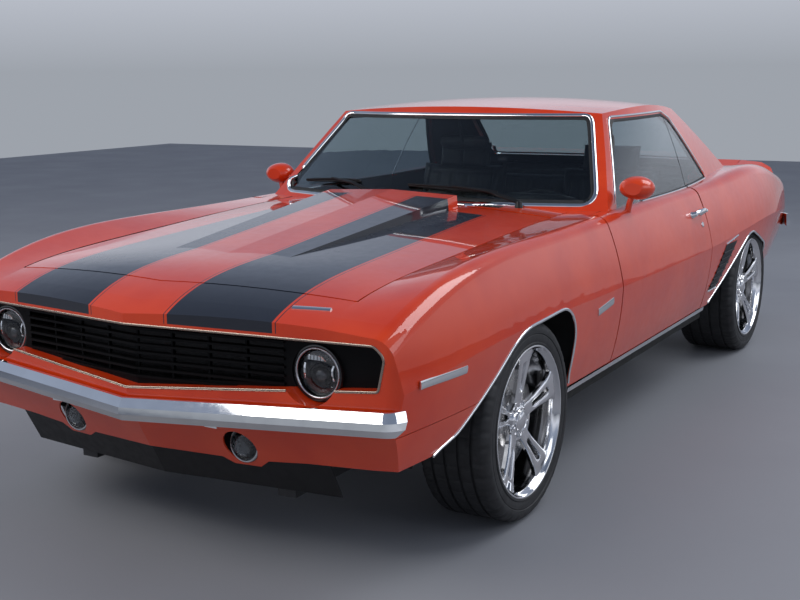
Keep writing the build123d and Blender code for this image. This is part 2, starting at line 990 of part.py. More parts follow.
# Ends of the spoiler on the quarter panels, as (x, front y, front z, rear y, top z, low z)
spoiler_ends = [
    (lid_half + panel_gap, 2090, 872, 2262, 906, 800),
    (720, 2080, 868, 2214, 900, 800),
    (790, 2070, 846, 2150, 876, 780),
    (824, 2070, 790, 2130, 812, 740),
]
spoiler = combine(
    side_prism(spoiler_profile, -lid_half, lid_half),
    cut=[body_loft(-seat_gap, 10)],
)
save(spoiler, "spoiler")
with BuildPart() as spoiler_end:
    for x, front_y, front_z, rear_y, top_z, low_z in spoiler_ends:
        with BuildSketch(Plane.YZ.offset(x)):
            with BuildLine():
                Polyline(
                    (front_y, front_z),
                    (rear_y, top_z),
                    (rear_y + 6, top_z - 10),
                    (rear_y, low_z),
                    (front_y, low_z),
                    close=True,
                )
            make_face()
    loft(ruled=True)
spoiler_caps = both_sides(combine(spoiler_end.part, cut=[body_loft(-seat_gap, 10)]))
save(spoiler_caps, "spoiler_caps")

# Bumpers: a faceted blade bent round the corners of the car
bumper_rise = 0.052
bumper_profile = [(0, -34), (16, -34), (30, -12), (27, 8), (12, 34), (0, 34)]
front_bumper_z = 480
rear_bumper_z = 528


def bumper_half(points, radius, z, facing):
    """Half a bumper along a route of (x, y) points that starts at the car's middle."""
    tilt = Plane(
        origin=(0, 0, z), x_dir=(1, 0, bumper_rise), z_dir=(-bumper_rise, 0, 1)
    )
    with BuildPart() as blade:
        with BuildLine(tilt) as route:
            FilletPolyline(*points, radius=radius)
        start = route.line @ 0
        along = route.line % 0
        outward = along.cross(Vector(0, 0, 1)) * facing
        with BuildSketch(Plane(origin=start, x_dir=outward, z_dir=along)):
            with BuildLine():
                Polyline(*[(d, -facing * h) for d, h in bumper_profile], close=True)
            make_face()
        sweep()
    return blade.part


front_bumper_route = [(-40, -2328), (856, -2228), (877, -2194)]
blade_end = [(-2237, 480), (-2194, 572), (-2100, 572), (-2100, 480)]
blade = bumper_half(front_bumper_route, 34, front_bumper_z, 1)
blade = combine(
    blade,
    cut=[side_prism(blade_end, 700, 1000)],
    kept=[block(0, 1000, -2500, 2500, 0, 1000)],
)
bracket_x = 300
bracket_half = 22
front_bracket = combine(
    block(bracket_x - bracket_half, bracket_x + bracket_half, -2300, -2240, 456, 474),
    kept=[Pos(0, -seat_gap, 0) * valance_front.part],
)
front_bumper = both_sides(combine(blade, added=[front_bracket]))
save(front_bumper, "front_bumper")

rear_bumper_route = [(-40, 2332), (430, 2318), (846, 2270), (882, 2205)]
rear_blade = bumper_half(rear_bumper_route, 40, rear_bumper_z, -1)
rear_blade = combine(rear_blade, kept=[block(0, 1000, -2500, 2500, 0, 1000)])
rear_bracket = combine(
    block(bracket_x - bracket_half, bracket_x + bracket_half, 2290, 2330, 512, 548),
    cut=[Pos(0, seat_gap, 0) * ahead_of_tail],
)
rear_bumper = both_sides(combine(rear_blade, added=[rear_bracket]))
save(rear_bumper, "rear_bumper")

# Grille: a dark plate recessed in the nose, with bars between the headlamps
lens_radius = 66
grille_recess = 48
grille_plate = 10
grille_half = 498
bar_count = 7
bar_pitch = 24
bar_height = 7
bar_depth = 22
first_bar_z = 562
slanted_length = (1 + nose_slope**2) ** 0.5


def nose_slab(y_front, depth, x_high, z_low, z_high):
    """Slab parallel to the nose, which is swept back on both sides."""
    with BuildPart() as slab:
        with BuildSketch(Plane.YZ):
            with Locations((y_front + depth / 2, (z_low + z_high) / 2)):
                Rectangle(depth, z_high - z_low)
        extrude(amount=x_high * slanted_length, dir=(1, nose_slope, 0))
        mirror(about=Plane.YZ)
    return slab.part


grille_face_y = nose_tip_y + grille_recess
grille_limit = front_prism(opening_outline, -2400, -2000, 0, -seat_gap)
grille_backing = combine(
    nose_slab(grille_face_y, grille_plate, 900, 500, 760),
    kept=[grille_limit],
    cut=[
        front_prism(
            [(0, 560), (grille_half, 590), (grille_half, 712), (-grille_half, 712), (-grille_half, 590)],
            -2400,
            -2000,
        ),
        both_sides(long_cylinder(bezel_radius + seat_gap, headlamp_x, headlamp_z, -2400, -2000)),
    ],
)
bars = [
    nose_slab(grille_face_y - 8, bar_depth, grille_half + 4, z, z + bar_height)
    for z in [first_bar_z + bar_pitch * n for n in range(bar_count)]
]
posts = [
    block(x - 3, x + 3, grille_face_y + 8, -2150, 552, 716)
    for x in (-375, -250, -125, 0, 125, 250, 375)
]
post_limit = nose_slab(grille_face_y + 2, 12, 500, 540, 720)
grille = combine(
    grille_backing,
    added=[combine(bar, kept=[grille_limit]) for bar in bars]
    + [combine(post, kept=[post_limit, grille_limit]) for post in posts],
)
save(grille, "grille")

# Headlamps and the round lamps in the valance
with BuildPart() as headlamp:
    with BuildSketch(Plane.XZ.offset(-(headlamp_y - 14))):
        with Locations((headlamp_x, headlamp_z)):
            Circle(bezel_radius)
            Circle(lens_radius + 1, mode=Mode.SUBTRACT)
    extrude(amount=-46)
    with BuildSketch(Plane.XZ.offset(-(headlamp_y + 32))):
        with Locations((headlamp_x, headlamp_z)):
            Circle(bezel_radius - 6)
    extrude(amount=-50)
valance_lamp_y = -2186
with BuildPart() as valance_lamp:
    with BuildSketch(Plane.XZ.offset(-valance_lamp_y)):
        with Locations((lamp_port_x, lamp_port_z)):
            Circle(lamp_port_radius - seat_gap)
    extrude(amount=-40)
front_lamps = both_sides(combine(headlamp.part, added=[valance_lamp.part]))
save(front_lamps, "front_lamps")

with BuildPart() as headlamp_lens:
    with BuildSketch(Plane.XZ.offset(-headlamp_y)):
        with Locations((headlamp_x, headlamp_z)):
            Circle(lens_radius)
    extrude(amount=-(32 - seat_gap))
lamp_lenses = both_sides(headlamp_lens.part)
save(lamp_lenses, "lamp_lenses")

# Air dam under the valance
dam_half = 610
dam_top = 362
dam_bottom = 235
dam_slope = valance_lean / (valance_top - valance_bottom)
dam_front_y = nose_tip_y + 10 + (valance_top - dam_top) * dam_slope + valance_wall + seat_gap
dam_wall = 5
dam_lean = (dam_top - dam_bottom) * dam_slope
dam_profile = [
    (dam_front_y, dam_top),
    (dam_front_y + dam_wall, dam_top),
    (dam_front_y + dam_wall + dam_lean, dam_bottom),
    (dam_front_y + dam_lean, dam_bottom),
]
with BuildPart() as dam_side:
    with BuildSketch(Plane.YZ):
        with BuildLine():
            Polyline(*dam_profile, close=True)
        make_face()
    extrude(amount=dam_half * slanted_length, dir=(1, nose_slope, 0))
    mirror(about=Plane.YZ)
air_dam = combine(dam_side.part, cut=[both_sides(lamp_port)])
save(air_dam, "air_dam")

# Rockers under the doors with a bright moulding along each
rocker_front_y = -1020
moulding_low = 318
moulding_high = 343
rocker_outer_x = 846
with BuildPart() as rocker_moulding:
    with BuildSketch(Plane.XZ.offset(-rocker_front_y)) as strip:
        with BuildLine():
            Polyline(
                (rocker_outer_x + seat_gap, moulding_low),
                (rocker_outer_x + 14, moulding_low + 3),
                (rocker_outer_x + 18, moulding_high - 4),
                (rocker_outer_x + seat_gap, moulding_high),
                close=True,
            )
        make_face()
    extrude(amount=rocker_front_y - rocker_rear_y)
rocker_mouldings = both_sides(rocker_moulding.part)
save(rocker_mouldings, "rocker_mouldings")


# Floor, tunnel, firewall, sills, hinge pillars and the raised rear floor
inner_limit = body_loft(skin + seat_gap, 200)
front_liner_inner_x = 486
rear_liner_inner_x = 596
floor_z = 262
floor_sheet = 6
floor_half = 700
tunnel_half = 130
tunnel_top = 430
firewall_y = -800
kick_y = 760
rear_floor_z = 470
rear_floor_fall = 40
kick_run = 60
rear_floor_half = rear_liner_inner_x - seat_gap
trunk_floor_rear = 2250
firewall_top = 840
sill_inner_x = 700
pillar_inner_x = 762
pillar_outer_x = 866
pillar_front_y = -780
pillar_rear_y = -704


def rear_floor_under(y):
    """Height of the raised rear floor's underside at a station."""
    length = trunk_floor_rear - kick_y - kick_run
    return rear_floor_z - rear_floor_fall * (y - kick_y - kick_run) / length


with BuildPart() as floor_pan:
    with BuildSketch(Plane.XZ.offset(-firewall_y)):
        with BuildLine():
            Polyline(
                (-floor_half, floor_z),
                (-tunnel_half, floor_z),
                (-tunnel_half + 40, tunnel_top),
                (tunnel_half - 40, tunnel_top),
                (tunnel_half, floor_z),
                (floor_half, floor_z),
                (floor_half, floor_z + floor_sheet),
                (tunnel_half + floor_sheet, floor_z + floor_sheet),
                (tunnel_half - 40 + floor_sheet, tunnel_top + floor_sheet),
                (40 - tunnel_half - floor_sheet, tunnel_top + floor_sheet),
                (-tunnel_half - floor_sheet, floor_z + floor_sheet),
                (-floor_half, floor_z + floor_sheet),
                close=True,
            )
        make_face()
    extrude(amount=firewall_y - kick_y)
with BuildPart() as rear_floor:
    with BuildSketch(Plane.YZ.offset(-rear_floor_half)):
        with BuildLine():
            Polyline(
                (kick_y - floor_sheet, floor_z),
                (kick_y, floor_z),
                (kick_y + kick_run, rear_floor_z),
                (trunk_floor_rear, rear_floor_z - rear_floor_fall),
                (trunk_floor_rear, rear_floor_z - rear_floor_fall + floor_sheet),
                (kick_y + kick_run - floor_sheet, rear_floor_z + floor_sheet),
                (kick_y - floor_sheet, floor_z + 2 * floor_sheet),
                close=True,
            )
        make_face()
    extrude(amount=2 * rear_floor_half)
firewall = block(-780, 780, firewall_y - floor_sheet, firewall_y, floor_z, firewall_top)
plenum_floor = block(-780, 780, firewall_y - floor_sheet, firewall_y + 130, firewall_top, firewall_top + 5)
sill = block(sill_inner_x, rocker_outer_x, rocker_front_y, rocker_rear_y, 285, 344)
sill_inner = block(sill_inner_x - 4, sill_inner_x, firewall_y, kick_y, floor_z, 344)
hinge_pillar = block(pillar_inner_x, pillar_outer_x, pillar_front_y, pillar_rear_y, 344, 860)
cowl_brace = block(pillar_inner_x - 20, pillar_inner_x + 4, firewall_y - 4, pillar_rear_y, 344, 860)
pillar = combine(hinge_pillar, added=[cowl_brace], kept=[inner_limit])
floor_sides = both_sides(combine(sill, added=[sill_inner, pillar]))
tunnel_mouths = [
    block(20 - tunnel_half, tunnel_half - 20, y - 40, y + 80, floor_z - 10, tunnel_top - 60)
    for y in (firewall_y, kick_y)
]
tunnel_mouths.append(
    block(20 - tunnel_half, tunnel_half - 20, firewall_y - 10, firewall_y, floor_z - 10, tunnel_top - 8)
)
floor = combine(
    floor_pan.part,
    added=[rear_floor.part, firewall, plenum_floor, floor_sides],
    cut=tunnel_mouths,
)
save(floor, "floor_pan")

# Wheelhouses: half drums over the wheels, with a flat wall on the inner side
liner = 4


def wheelhouse(outline, x_inner, x_outer):
    """Cover over one wheel with a flat inner wall, open below and on the outer side."""
    return combine(
        opening_prism(outline, x_inner, x_outer),
        cut=[opening_prism(outline, x_inner + liner, x_outer + liner, -liner)],
        kept=[block(x_inner, x_outer, -2400, 2400, house_low_z, 800)],
    )


arm_window = block(
    front_liner_inner_x - 5,
    front_liner_inner_x + liner + 5,
    front_axle_y - 120,
    front_axle_y + 120,
    300,
    495,
)
axle_window = cross_cylinder(
    70, rear_axle_y, tyre_radius, rear_liner_inner_x - 5, rear_liner_inner_x + liner + 5
)
front_house = combine(
    wheelhouse(front_house_outline, front_liner_inner_x, 940),
    cut=[arm_window],
    kept=[inner_limit],
)
rear_house = combine(
    wheelhouse(rear_house_outline, rear_liner_inner_x, 940),
    cut=[axle_window],
    kept=[inner_limit],
)
wheelhouses = combine(both_sides(front_house), added=[both_sides(rear_house)])
save(wheelhouses, "wheelhouses")

# Hinge pins and brackets of the doors, the hood and the trunk lid
bracket_plate = 5


def door_bracket(z):
    """Fixed half of one door hinge, from the pillar to the pin."""
    top = z + hinge_height / 2 + seat_gap
    bottom = z - hinge_height / 2 - seat_gap
    plates = [
        block(
            door_axis_x - 16,
            door_axis_x + 9,
            pillar_rear_y + seat_gap,
            door_axis_y + 9,
            low,
            low + bracket_plate,
        )
        for low in (top, bottom - bracket_plate)
    ]
    back = block(
        door_axis_x - 16,
        door_axis_x - 6,
        pillar_rear_y + seat_gap,
        pillar_rear_y + 4,
        bottom - bracket_plate,
        top + bracket_plate,
    )
    pin = upright_cylinder(hinge_pin_radius, door_axis_x, door_axis_y, bottom - 8, top + 8)
    return combine(pin, added=plates + [back])


hood_ear_plate = 6
hood_ear_base_z = firewall_top + 5 + seat_gap


def hood_bracket():
    """Fixed clevis under the hood's rear corner, with its pin."""
    ears = []
    for x in (
        hood_hinge_x - hood_lug / 2 - seat_gap - hood_ear_plate,
        hood_hinge_x + hood_lug / 2 + seat_gap,
    ):
        with BuildPart() as ear:
            with BuildSketch(Plane.YZ.offset(x)):
                with Locations((hood_axis_y, hood_axis_z)):
                    Circle(hood_ear_radius)
                with Locations((hood_axis_y, (hood_axis_z + hood_ear_base_z) / 2)):
                    Rectangle(2 * hood_ear_radius, hood_axis_z - hood_ear_base_z)
            extrude(amount=hood_ear_plate)
        ears.append(ear.part)
    span = hood_lug / 2 + seat_gap + hood_ear_plate
    base = block(
        hood_hinge_x - span,
        hood_hinge_x + span,
        hood_axis_y - 14,
        hood_axis_y + 14,
        hood_ear_base_z,
        hood_ear_base_z + 4,
    )
    pin = cross_cylinder(
        hood_pin_radius, hood_axis_y, hood_axis_z, hood_hinge_x - span, hood_hinge_x + span
    )
    return combine(pin, added=ears + [base])


def lid_bracket():
    """Fixed bracket that hangs the lid's arm under the rear window."""
    with BuildPart() as ear:
        with BuildSketch(Plane.YZ.offset(lid_hinge_x + lid_arm_depth / 2 + seat_gap)):
            with Locations((lid_axis_y, lid_axis_z)):
                Circle(lid_boss_radius)
            with Locations((lid_axis_y, lid_axis_z + 20)):
                Rectangle(2 * lid_boss_radius, 40)
        extrude(amount=bracket_plate)
    pin = cross_cylinder(
        lid_pin_radius,
        lid_axis_y,
        lid_axis_z,
        lid_hinge_x - lid_arm_depth / 2 - 4,
        lid_hinge_x + lid_arm_depth / 2 + seat_gap + bracket_plate,
    )
    return combine(pin, added=[combine(ear.part, kept=[inner_limit])])


hinge_parts = [door_bracket(z) for z in hinge_levels] + [hood_bracket(), lid_bracket()]
hinge_brackets = both_sides(combine(hinge_parts[0], added=hinge_parts[1:]))
save(hinge_brackets, "hinge_brackets")

# Front subframe: rails, crossmember, radiator support and lower arms
rail_x = 400
rail_width = 64
rail_low = 196
rail_high = floor_z
rails = [
    block(rail_x - rail_width / 2, rail_x + rail_width / 2, -2080, -760, rail_low, rail_high),
    block(0, rail_x, front_axle_y - 80, front_axle_y + 80, rail_low - 12, rail_low + 70),
    block(0, front_liner_inner_x - seat_gap, -2080, -2040, rail_high, 720),
]
arm_inner_x = 440
lower_arm_plate = 20
upper_arm_plate = 16
kingpin_radius = 9
ball_seat = 14
lower_joint_z = tyre_radius - ball_joint_height
upper_joint_z = tyre_radius + ball_joint_height
with BuildPart() as lower_arm:
    with BuildSketch(Plane.XY.offset(lower_joint_z - ball_seat - lower_arm_plate)):
        with BuildLine():
            Polyline(
                (arm_inner_x - 30, front_axle_y - 110),
                (arm_inner_x - 30, front_axle_y + 110),
                (kingpin_x + 16, front_axle_y + 22),
                (kingpin_x + 16, front_axle_y - 22),
                close=True,
            )
        make_face()
    extrude(amount=lower_arm_plate)
with BuildPart() as upper_arm:
    with BuildSketch(Plane.XY.offset(upper_joint_z + ball_seat)):
        with BuildLine():
            Polyline(
                (arm_inner_x + 20, front_axle_y - 90),
                (arm_inner_x + 20, front_axle_y + 90),
                (kingpin_x + 16, front_axle_y + 20),
                (kingpin_x + 16, front_axle_y - 20),
                close=True,
            )
        make_face()
    extrude(amount=upper_arm_plate)
tower = block(
    arm_inner_x - 40,
    front_liner_inner_x - seat_gap,
    front_axle_y - 60,
    front_axle_y + 60,
    rail_low,
    upper_joint_z + ball_seat + upper_arm_plate,
)
lower_stud = upright_cylinder(
    kingpin_radius, kingpin_x, front_axle_y, lower_joint_z - ball_seat - 6, lower_joint_z + 10
)
upper_stud = upright_cylinder(
    kingpin_radius, kingpin_x, front_axle_y, upper_joint_z - 10, upper_joint_z + ball_seat + 6
)
engine_low = 300
engine_mount = block(170, 230, front_axle_y - 45, front_axle_y + 45, rail_low, engine_low - seat_gap)
subframe_half = combine(
    rails[0],
    added=rails[1:] + [lower_arm.part, upper_arm.part, tower, lower_stud, upper_stud, engine_mount],
)
front_subframe = both_sides(subframe_half)
save(front_subframe, "front_subframe")

# Steering knuckles with their stub axles and brake calipers
knuckle_half = 22
knuckle_low = lower_joint_z - ball_seat + seat_gap
knuckle_high = upper_joint_z + ball_seat - seat_gap
stud_bore_depth = 24
stub_end_x = 862
stub_flange_radius = 38
stub_flange_depth = 36
with BuildPart() as knuckle_block:
    with BuildSketch(Plane.XY.offset(knuckle_low)):
        with Locations((kingpin_x, front_axle_y)):
            Circle(knuckle_half)
    extrude(amount=knuckle_high - knuckle_low)
    with BuildSketch(Plane.YZ.offset(kingpin_x)):
        with Locations((front_axle_y, tyre_radius)):
            Circle(stub_flange_radius)
    extrude(amount=stub_flange_depth)
    with BuildSketch(Plane.YZ.offset(kingpin_x)):
        with Locations((front_axle_y, tyre_radius)):
            Circle(axle_bore)
    extrude(amount=stub_end_x - kingpin_x)
    with BuildSketch(Plane.XY.offset(knuckle_low)):
        with Locations((kingpin_x, front_axle_y)):
            Circle(kingpin_radius + running_gap)
    extrude(amount=stud_bore_depth, mode=Mode.SUBTRACT)
    with BuildSketch(Plane.XY.offset(knuckle_high - stud_bore_depth)):
        with Locations((kingpin_x, front_axle_y)):
            Circle(kingpin_radius + running_gap)
    extrude(amount=stud_bore_depth, mode=Mode.SUBTRACT)
knuckle_left = knuckle_block.part
save(knuckle_left, "knuckle_left")
save(mirror(knuckle_left, about=Plane.YZ), "knuckle_right")


# Wheels: tyre, rim with five split spokes, brake disc
def tyre(y, width):
    """Low tyre round a left wheel, its tread smooth."""
    inner_x = tyre_face_x - width
    middle = tyre_face_x - width / 2
    bead = bead_radius + seat_gap
    with BuildPart() as ring:
        with BuildSketch(Plane.XY.offset(tyre_radius)):
            with BuildLine():
                face = y + tyre_radius
                Line((inner_x + tyre_shoulder, face), (tyre_face_x - tyre_shoulder, face))
                ThreePointArc(
                    (tyre_face_x - tyre_shoulder, face),
                    (tyre_face_x - tyre_shoulder * 0.3, face - tyre_shoulder * 0.42),
                    (tyre_face_x, face - tyre_shoulder - 6),
                )
                ThreePointArc(
                    (tyre_face_x, face - tyre_shoulder - 6),
                    (tyre_face_x - 2, y + (bead_radius + tyre_radius) / 2 - 12),
                    (tyre_face_x - 16, y + bead),
                )
                Line((tyre_face_x - 16, y + bead), (inner_x + 16, y + bead))
                ThreePointArc(
                    (inner_x + 16, y + bead),
                    (inner_x + 2, y + (bead_radius + tyre_radius) / 2 - 12),
                    (inner_x, face - tyre_shoulder - 6),
                )
                ThreePointArc(
                    (inner_x, face - tyre_shoulder - 6),
                    (inner_x + tyre_shoulder * 0.3, face - tyre_shoulder * 0.42),
                    (inner_x + tyre_shoulder, face),
                )
            make_face()
        revolve(axis=Axis((middle, y, tyre_radius), (1, 0, 0)))
    return ring.part


# Window between two spokes, as (distance out from the hub, half width)
window_points = [(76, 14), (150, 56), (212, 78), (218, 40)]
window_corner_radius = 9
with BuildSketch() as rim_window:
    with BuildLine():
        Polyline(*window_points, *[(out, -half) for out, half in reversed(window_points)], close=True)
    make_face()
    fillet(rim_window.vertices(), window_corner_radius)


def rim(y, width):
    """Rim of a left wheel: barrel, five split spokes, hub and brake disc."""
    inner_x = tyre_face_x - width
    lip_x = tyre_face_x - 4
    hub_x = lip_x - hub_recess
    axis = Axis((0, y, tyre_radius), (1, 0, 0))
    with BuildPart() as wheel:
        with BuildSketch(Plane.XY.offset(tyre_radius)):
            with BuildLine():
                Polyline(
                    (inner_x + 6, y + bead_radius - 8),
                    (inner_x + 6, y + bead_radius),
                    (lip_x - lip_width, y + bead_radius),
                    (lip_x - lip_width, y + lip_radius),
                    (lip_x, y + lip_radius),
                    (lip_x, y + lip_radius - 8),
                    (lip_x - 12, y + barrel_radius),
                    (lip_x - 90, y + barrel_radius - 14),
                    (inner_x + 30, y + barrel_radius - 14),
                    close=True,
                )
            make_face()
        revolve(axis=axis)
        with BuildSketch(Plane.XY.offset(tyre_radius)):
            with BuildLine():
                Polyline(
                    (hub_x - spoke_depth - 10, y + axle_bore + running_gap),
                    (hub_x + 2, y + axle_bore + running_gap),
                    (hub_x + 2, y + hub_radius - 14),
                    (hub_x - 4, y + hub_radius),
                    (hub_x + 6, y + (hub_radius + barrel_radius) / 2),
                    (lip_x - 14, y + barrel_radius + 2),
                    (lip_x - 14 - spoke_depth, y + barrel_radius + 2),
                    (hub_x - spoke_depth + 2, y + hub_radius),
                    (hub_x - spoke_depth - 10, y + hub_radius - 6),
                    close=True,
                )
            make_face()
        revolve(axis=axis)
        with BuildSketch(Plane.YZ.offset(inner_x)):
            with Locations((y, tyre_radius)):
                with PolarLocations(0, spoke_count, start_angle=90 + 180 / spoke_count):
                    add(rim_window.sketch)
                with PolarLocations((hub_radius + barrel_radius) / 2 + 8, spoke_count, start_angle=90):
                    SlotOverall(barrel_radius - hub_radius - 50, spoke_slot)
        extrude(amount=width, mode=Mode.SUBTRACT)
        with BuildSketch(Plane.YZ.offset(hub_x - spoke_depth - 10 - 30)):
            with Locations((y, tyre_radius)):
                Circle(disc_radius)
                Circle(axle_bore + running_gap, mode=Mode.SUBTRACT)
        extrude(amount=disc_width)
        with BuildSketch(Plane.YZ.offset(hub_x - spoke_depth - 20)):
            with Locations((y, tyre_radius)):
                Circle(hub_radius)
                Circle(axle_bore + running_gap, mode=Mode.SUBTRACT)
        extrude(amount=14)
        with BuildSketch(Plane.YZ.offset(hub_x)):
            with Locations((y, tyre_radius)):
                Circle(36)
        extrude(amount=8)
    return wheel.part


for corner, y, width in (("f", front_axle_y, front_tyre_width), ("r", rear_axle_y, rear_tyre_width)):
    left_tyre = tyre(y, width)
    left_rim = rim(y, width)
    save(left_tyre, f"tyre_{corner}l")
    save(mirror(left_tyre, about=Plane.YZ), f"tyre_{corner}r")
    save(left_rim, f"rim_{corner}l")
    save(mirror(left_rim, about=Plane.YZ), f"rim_{corner}r")


# Rear axle: tube, differential, hub spindles and leaf springs
axle_tube_radius = 38
differential_radius = 118
spring_x = 520
spring_width = 64
spring_plate = 22
spring_front_y = rear_axle_y - 440
spring_rear_y = rear_axle_y + 640
spring_drop_z = tyre_radius - axle_tube_radius - spring_plate
spring_leaf = 14
spring_eye_radius = 24
front_eye_rise = 63
rear_eye_rise = 103
with BuildPart() as spring:
    with BuildSketch(Plane.YZ.offset(spring_x - spring_width / 2)):
        with BuildLine():
            top = ThreePointArc(
                (spring_front_y, spring_drop_z + front_eye_rise + spring_leaf / 2),
                (rear_axle_y, spring_drop_z + spring_plate),
                (spring_rear_y, spring_drop_z + rear_eye_rise + spring_leaf / 2),
            )
            bottom = ThreePointArc(
                (spring_front_y, spring_drop_z + front_eye_rise - spring_leaf / 2),
                (rear_axle_y, spring_drop_z),
                (spring_rear_y, spring_drop_z + rear_eye_rise - spring_leaf / 2),
            )
            Line(top @ 0, bottom @ 0)
            Line(top @ 1, bottom @ 1)
        make_face()
    extrude(amount=spring_width)
    with BuildSketch(Plane.YZ.offset(spring_x - spring_width / 2)):
        with Locations(
            (spring_front_y, spring_drop_z + front_eye_rise),
            (spring_rear_y, spring_drop_z + rear_eye_rise),
        ):
            Circle(spring_eye_radius)
    extrude(amount=spring_width)
hanger_half = 26
hanger_depth = 32
spring_hangers = [
    block(
        spring_x - hanger_half,
        spring_x + hanger_half,
        y - hanger_depth / 2,
        y + hanger_depth / 2,
        eye_z,
        rear_floor_under(y + hanger_depth / 2) - seat_gap,
    )
    for y, eye_z in (
        (spring_front_y, spring_drop_z + front_eye_rise),
        (spring_rear_y, spring_drop_z + rear_eye_rise),
    )
]
axle_half = combine(
    cross_cylinder(axle_tube_radius, rear_axle_y, tyre_radius, 0, 800),
    added=[
        cross_cylinder(axle_bore, rear_axle_y, tyre_radius, 700, stub_end_x),
        cross_cylinder(differential_radius, rear_axle_y, tyre_radius, 0, 90),
        spring.part,
        *spring_hangers,
    ],
)
rear_axle = both_sides(axle_half)
save(rear_axle, "rear_axle")

# Engine as one plain block, with gearbox and propeller shaft
engine_half = 270
engine_front_y = -1960
engine_rear_y = -1180
engine_high = 800
shaft_radius = 36
gearbox_radius = 95
gearbox_z = 315
drivetrain = combine(
    block(-engine_half, engine_half, engine_front_y, engine_rear_y, engine_low, engine_high),
    added=[
        long_cylinder(gearbox_radius, 0, gearbox_z, engine_rear_y, -420),
        long_cylinder(shaft_radius, 0, tyre_radius, -420, rear_axle_y - differential_radius - seat_gap),
    ],
)
save(drivetrain, "drivetrain")

# Exhaust: two pipes with mufflers, rising over the axle to the rear
pipe_x = 250
pipe_radius = 28
pipe_z = 196
muffler_radius = 60
tailpipe_x = 480
tail_pipe_z = 300
exhaust_rear_y = 2330


def exhaust_side():
    """One pipe from the engine to its tip under the bumper."""
    with BuildPart() as pipe:
        with BuildLine() as route:
            FilletPolyline(
                (pipe_x + 60, -1250, pipe_z + 60),
                (pipe_x, -1000, pipe_z),
                (pipe_x, 900, pipe_z),
                (pipe_x, 1180, 420),
                (pipe_x + 40, 1470, 420),
                (tailpipe_x - 120, 1720, tail_pipe_z),
                (tailpipe_x - 120, exhaust_rear_y, tail_pipe_z),
                radius=70,
            )
        with BuildSketch(Plane(origin=route.line @ 0, z_dir=route.line % 0)):
            Circle(pipe_radius)
        sweep()
    muffler = long_cylinder(muffler_radius, pipe_x, pipe_z, 250, 750)
    muffler_hanger = block(pipe_x - 12, pipe_x + 12, 480, 520, pipe_z, floor_z - seat_gap)
    tail_hanger = block(
        tailpipe_x - 132,
        tailpipe_x - 108,
        2160,
        2190,
        tail_pipe_z,
        rear_floor_under(2190) - seat_gap,
    )
    return combine(pipe.part, added=[muffler, muffler_hanger, tail_hanger])


exhaust = both_sides(exhaust_side())
save(exhaust, "exhaust")

# Fuel tank under the trunk floor
tank_y = 1930
tank_width = 560
tank_length = 400
tank_depth = 140
tank_top = rear_floor_under(tank_y + tank_length / 2) - seat_gap
with BuildPart() as tank:
    with BuildSketch(Plane.XY.offset(tank_top - tank_depth)):
        with Locations((0, tank_y)):
            RectangleRounded(tank_width, tank_length, 60)
    extrude(amount=tank_depth)
    fillet(tank.faces().sort_by(Axis.Z)[0].edges(), 30)
fuel_tank = tank.part
save(fuel_tank, "fuel_tank")

# Dashboard with the steering column
wheel_x = 385
column_angle = 24
column_origin = (wheel_x, -95, 770)
dash_half = 745
dash_profile = [
    (-600, 800),
    (-560, 895),
    (-300, 905),
    (-215, 880),
    (-225, 790),
    (-290, 690),
    (-380, 640),
    (-600, 640),
]
column_plane = Plane(
    origin=column_origin,
    x_dir=(1, 0, 0),
    z_dir=(0, cos(radians(column_angle)), sin(radians(column_angle))),
)
with BuildPart() as column:
    with BuildSketch(column_plane.offset(-420)):
        Circle(30)
    extrude(amount=372)
with BuildPart() as column_stub:
    with BuildSketch(column_plane.offset(-60)):
        Circle(10)
    extrude(amount=70)
dashboard = combine(
    side_prism(dash_profile, -dash_half, dash_half),
    added=[column.part, column_stub.part],
    kept=[combine(cabin_inner, added=[block(-750, 750, -590, 600, 500, 900)])],
)
dash_bracket = block(600, 640, firewall_y + seat_gap, -590, 700, 745)
dashboard = combine(dashboard, added=[both_sides(dash_bracket)])
save(dashboard, "dashboard")

# Steering wheel: rim, three spokes and hub
wheel_radius = 182
grip_radius = 13
with BuildPart() as steering_wheel:
    with BuildSketch(Plane(origin=column_plane.origin, x_dir=column_plane.x_dir, z_dir=-column_plane.y_dir)):
        with Locations((wheel_radius, 0)):
            Circle(grip_radius)
    revolve(axis=Axis(column_plane.origin, column_plane.z_dir))
    with BuildSketch(column_plane.offset(-6)):
        Circle(46)
        with PolarLocations(wheel_radius / 2 + 10, 3, start_angle=-90):
            Rectangle(wheel_radius - 30, 34)
    extrude(amount=10)
    with BuildSketch(column_plane.offset(-34)):
        Circle(34)
        Circle(10 + running_gap, mode=Mode.SUBTRACT)
    extrude(amount=30)
    with BuildSketch(column_plane.offset(-34)):
        Circle(10 + running_gap)
    extrude(amount=45, mode=Mode.SUBTRACT)
    with BuildSketch(column_plane.offset(11)):
        Circle(40)
    extrude(amount=8)
    with BuildSketch(column_plane.offset(-6)):
        Circle(40)
        Circle(12, mode=Mode.SUBTRACT)
    extrude(amount=18)
save(steering_wheel.part, "steering_wheel")

# Seats
seat_x = 390
seat_width = 480
cushion_profile = [(20, 290), (10, 440), (60, 470), (520, 440), (560, 400), (540, 290)]
back_profile = [(500, 450), (590, 980), (600, 1060), (680, 1070), (700, 1000), (640, 420), (560, 402)]


def cushion(profile, x, width, radius):
    """Cushion with a side outline, rounded along both edges."""
    with BuildPart() as pad:
        with BuildSketch(Plane.YZ.offset(x - width / 2)) as face:
            with BuildLine():
                Polyline(*profile, close=True)
            make_face()
            fillet(face.vertices(), radius)
        extrude(amount=width)
        fillet(pad.faces().sort_by(Axis.X)[0].edges(), radius * 0.7)
        fillet(pad.faces().sort_by(Axis.X)[-1].edges(), radius * 0.7)
    return pad.part


